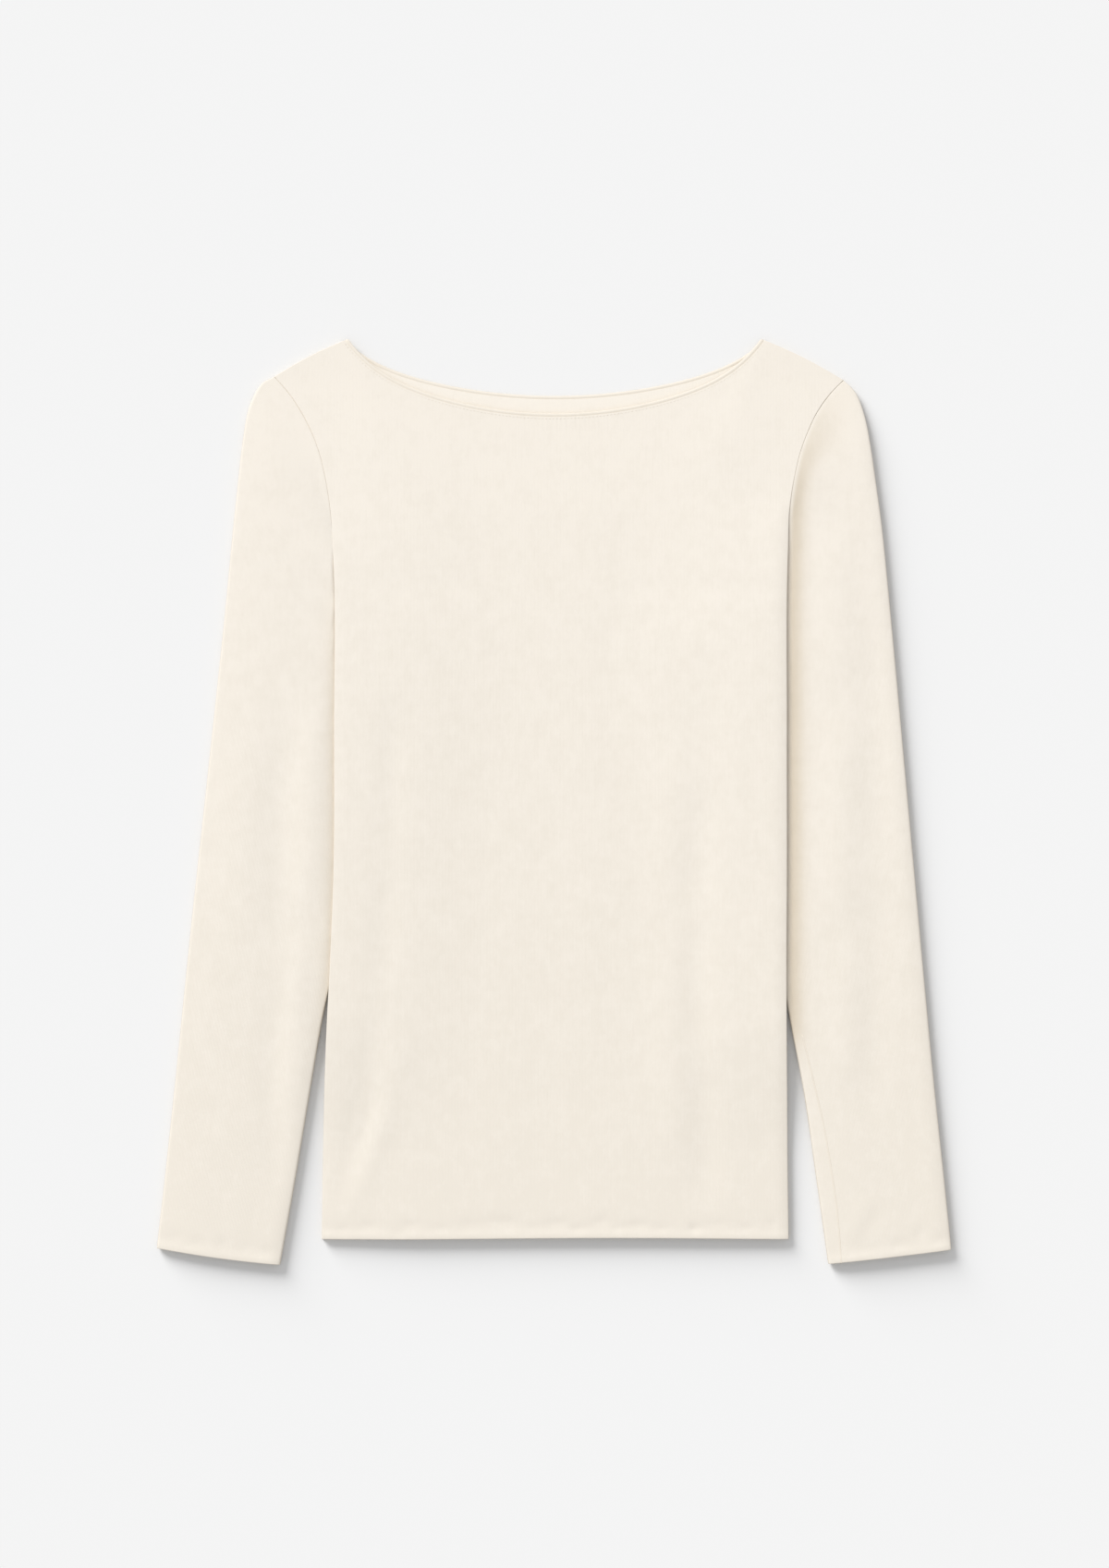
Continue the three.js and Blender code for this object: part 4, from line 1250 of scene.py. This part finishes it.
class GARMENT_OT_back_panel(Operator):
    """Models the back panel"""

    bl_idname = "garment.back_panel"
    bl_label = "Back panel"

    def execute(self, context):
        material = shared_material("Jersey inside", "inside", "inside_shade")
        dress(back_panel(), "back_panel", material)
        return {"FINISHED"}


class GARMENT_OT_front_panel(Operator):
    """Models the front panel"""

    bl_idname = "garment.front_panel"
    bl_label = "Front panel"

    def execute(self, context):
        material = shared_material("Jersey outside", "cream", "cream_shade")
        dress(front_panel(), "front_panel", material)
        return {"FINISHED"}


class GARMENT_OT_sleeves(Operator):
    """Models both sleeves"""

    bl_idname = "garment.sleeves"
    bl_label = "Sleeves"

    def execute(self, context):
        material = shared_material("Jersey outside", "cream", "cream_shade")
        for side, node in (("left", "right_sleeve"), ("right", "left_sleeve")):
            thing = sleeve(side, node + "_jersey")
            dress(thing, node, material)
        return {"FINISHED"}


class GARMENT_OT_neck_bindings(Operator):
    """Models the bound edges of the neck"""

    bl_idname = "garment.neck_bindings"
    bl_label = "Neck bindings"

    def execute(self, context):
        material = shared_material("Jersey binding", "binding", "binding_shade")
        back = binding_rim("back_neck_rim", BACK_NECK, BACK_NECK_INSET, WALL / 2)
        dress(back, "back_neck_binding", material)
        middle_z = 2 * WALL + SEAM_GAP + NECK_LOFT - BINDING_DROP
        front = binding_rim("front_neck_rim", FRONT_NECK, 0.0, middle_z)
        dress(front, "front_neck_binding", material)
        return {"FINISHED"}


class GARMENT_OT_seams(Operator):
    """Models the armhole seams, the underarm seam that shows and the neck's stitches"""

    bl_idname = "garment.seams"
    bl_label = "Seams and stitches"

    def execute(self, context):
        # The seams take the binding colours, whose deeper tone is partly painted shade along the seam
        # lines.
        material = shared_material("Jersey binding", "binding", "binding_shade")
        for thing in (
            armhole_tape("left", "right_armhole_seam"),
            armhole_tape("right", "left_armhole_seam"),
            underarm_seam("left_underarm_seam"),
            neck_stitches("neck_stitches"),
        ):
            thing.data.materials.append(material)
            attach(thing, BODY)
        return {"FINISHED"}


def add_key(name, strength, width, direction, receivers):
    """Wide soft light from one direction that falls on the things given."""
    bpy.ops.object.light_add(type="SUN", location=direction * LIGHT_DISTANCE)
    key = bpy.context.object
    key.name = name
    key.data.angle = width
    key.data.energy = strength
    key.rotation_euler = direction.to_track_quat("Z", "Y").to_euler()
    group = bpy.data.collections.new(name + "_receivers")
    for thing in receivers:
        group.objects.link(thing)
    key.light_linking.receiver_collection = group


class GARMENT_OT_stage(Operator):
    """Makes the floor, the light and the camera"""

    bl_idname = "garment.stage"
    bl_label = "Stage"

    def execute(self, context):
        settings = context.scene.stage_settings
        bpy.ops.object.select_all(action="DESELECT")
        bpy.ops.mesh.primitive_plane_add(size=FLOOR_SIZE, location=(0, 0, 0))
        floor = context.object
        floor.name = "floor"
        material = bpy.data.materials.new("Pale ground")
        material.use_nodes = True
        shader = material.node_tree.nodes["Principled BSDF"]
        shader.inputs["Base Color"].default_value = (*settings.floor_colour, 1.0)
        shader.inputs["Roughness"].default_value = 1.0
        shader.inputs["Specular IOR Level"].default_value = 0.0
        floor.data.materials.append(material)
        world = bpy.data.worlds.new("Even light")
        world.use_nodes = True
        background = world.node_tree.nodes["Background"]
        background.inputs["Color"].default_value = (1.0, 1.0, 1.0, 1.0)
        background.inputs["Strength"].default_value = settings.ambient
        context.scene.world = world
        direction = Vector((
            math.cos(settings.key_azimuth) * math.cos(settings.key_elevation),
            math.sin(settings.key_azimuth) * math.cos(settings.key_elevation),
            math.sin(settings.key_elevation),
        ))
        garment = [thing for thing in context.scene.objects if thing.type == "MESH" and thing != floor]
        add_key("cloth_key", settings.key_strength, settings.key_width, direction, garment)
        low = Vector((direction.x, direction.y, 0.0)).normalized() * math.cos(settings.low_elevation)
        low.z = math.sin(settings.low_elevation)
        add_key("ground_key", settings.low_strength, settings.low_width, low, [floor])
        bpy.ops.object.camera_add(location=(0.0, settings.view_centre, settings.camera_height))
        camera = context.object
        camera.name = "camera"
        camera.rotation_euler = (0.0, 0.0, 0.0)
        camera.data.sensor_width = SENSOR_WIDTH
        camera.data.lens = SENSOR_WIDTH * settings.camera_height / settings.view_length
        camera.data.dof.use_dof = False
        context.scene.camera = camera
        context.scene.view_settings.view_transform = "Standard"
        return {"FINISHED"}


class GARMENT_PT_sidebar(Panel):
    """Lists the garment's pieces"""

    bl_label = "Thermal top"
    bl_idname = "GARMENT_PT_sidebar"
    bl_space_type = "VIEW_3D"
    bl_region_type = "UI"
    bl_category = "Garment"

    def draw(self, context):
        for operator in PIECE_OPERATORS:
            self.layout.operator(operator.bl_idname)


PIECE_OPERATORS = (
    GARMENT_OT_back_panel,
    GARMENT_OT_front_panel,
    GARMENT_OT_sleeves,
    GARMENT_OT_neck_bindings,
    GARMENT_OT_seams,
    GARMENT_OT_stage,
)
CLASSES = (ClothSettings, StageSettings, *PIECE_OPERATORS, GARMENT_PT_sidebar)


def register():
    for item in CLASSES:
        bpy.utils.register_class(item)
    bpy.types.Scene.cloth_settings = PointerProperty(type=ClothSettings)
    bpy.types.Scene.stage_settings = PointerProperty(type=StageSettings)


def unregister():
    del bpy.types.Scene.stage_settings
    del bpy.types.Scene.cloth_settings
    for item in reversed(CLASSES):
        bpy.utils.unregister_class(item)


def main():
    register()
    bpy.ops.garment.back_panel()
    bpy.ops.garment.front_panel()
    bpy.ops.garment.sleeves()
    bpy.ops.garment.neck_bindings()
    bpy.ops.garment.seams()
    bpy.ops.garment.stage()
    bpy.context.view_layer.update()


if __name__ == "__main__":
    main()
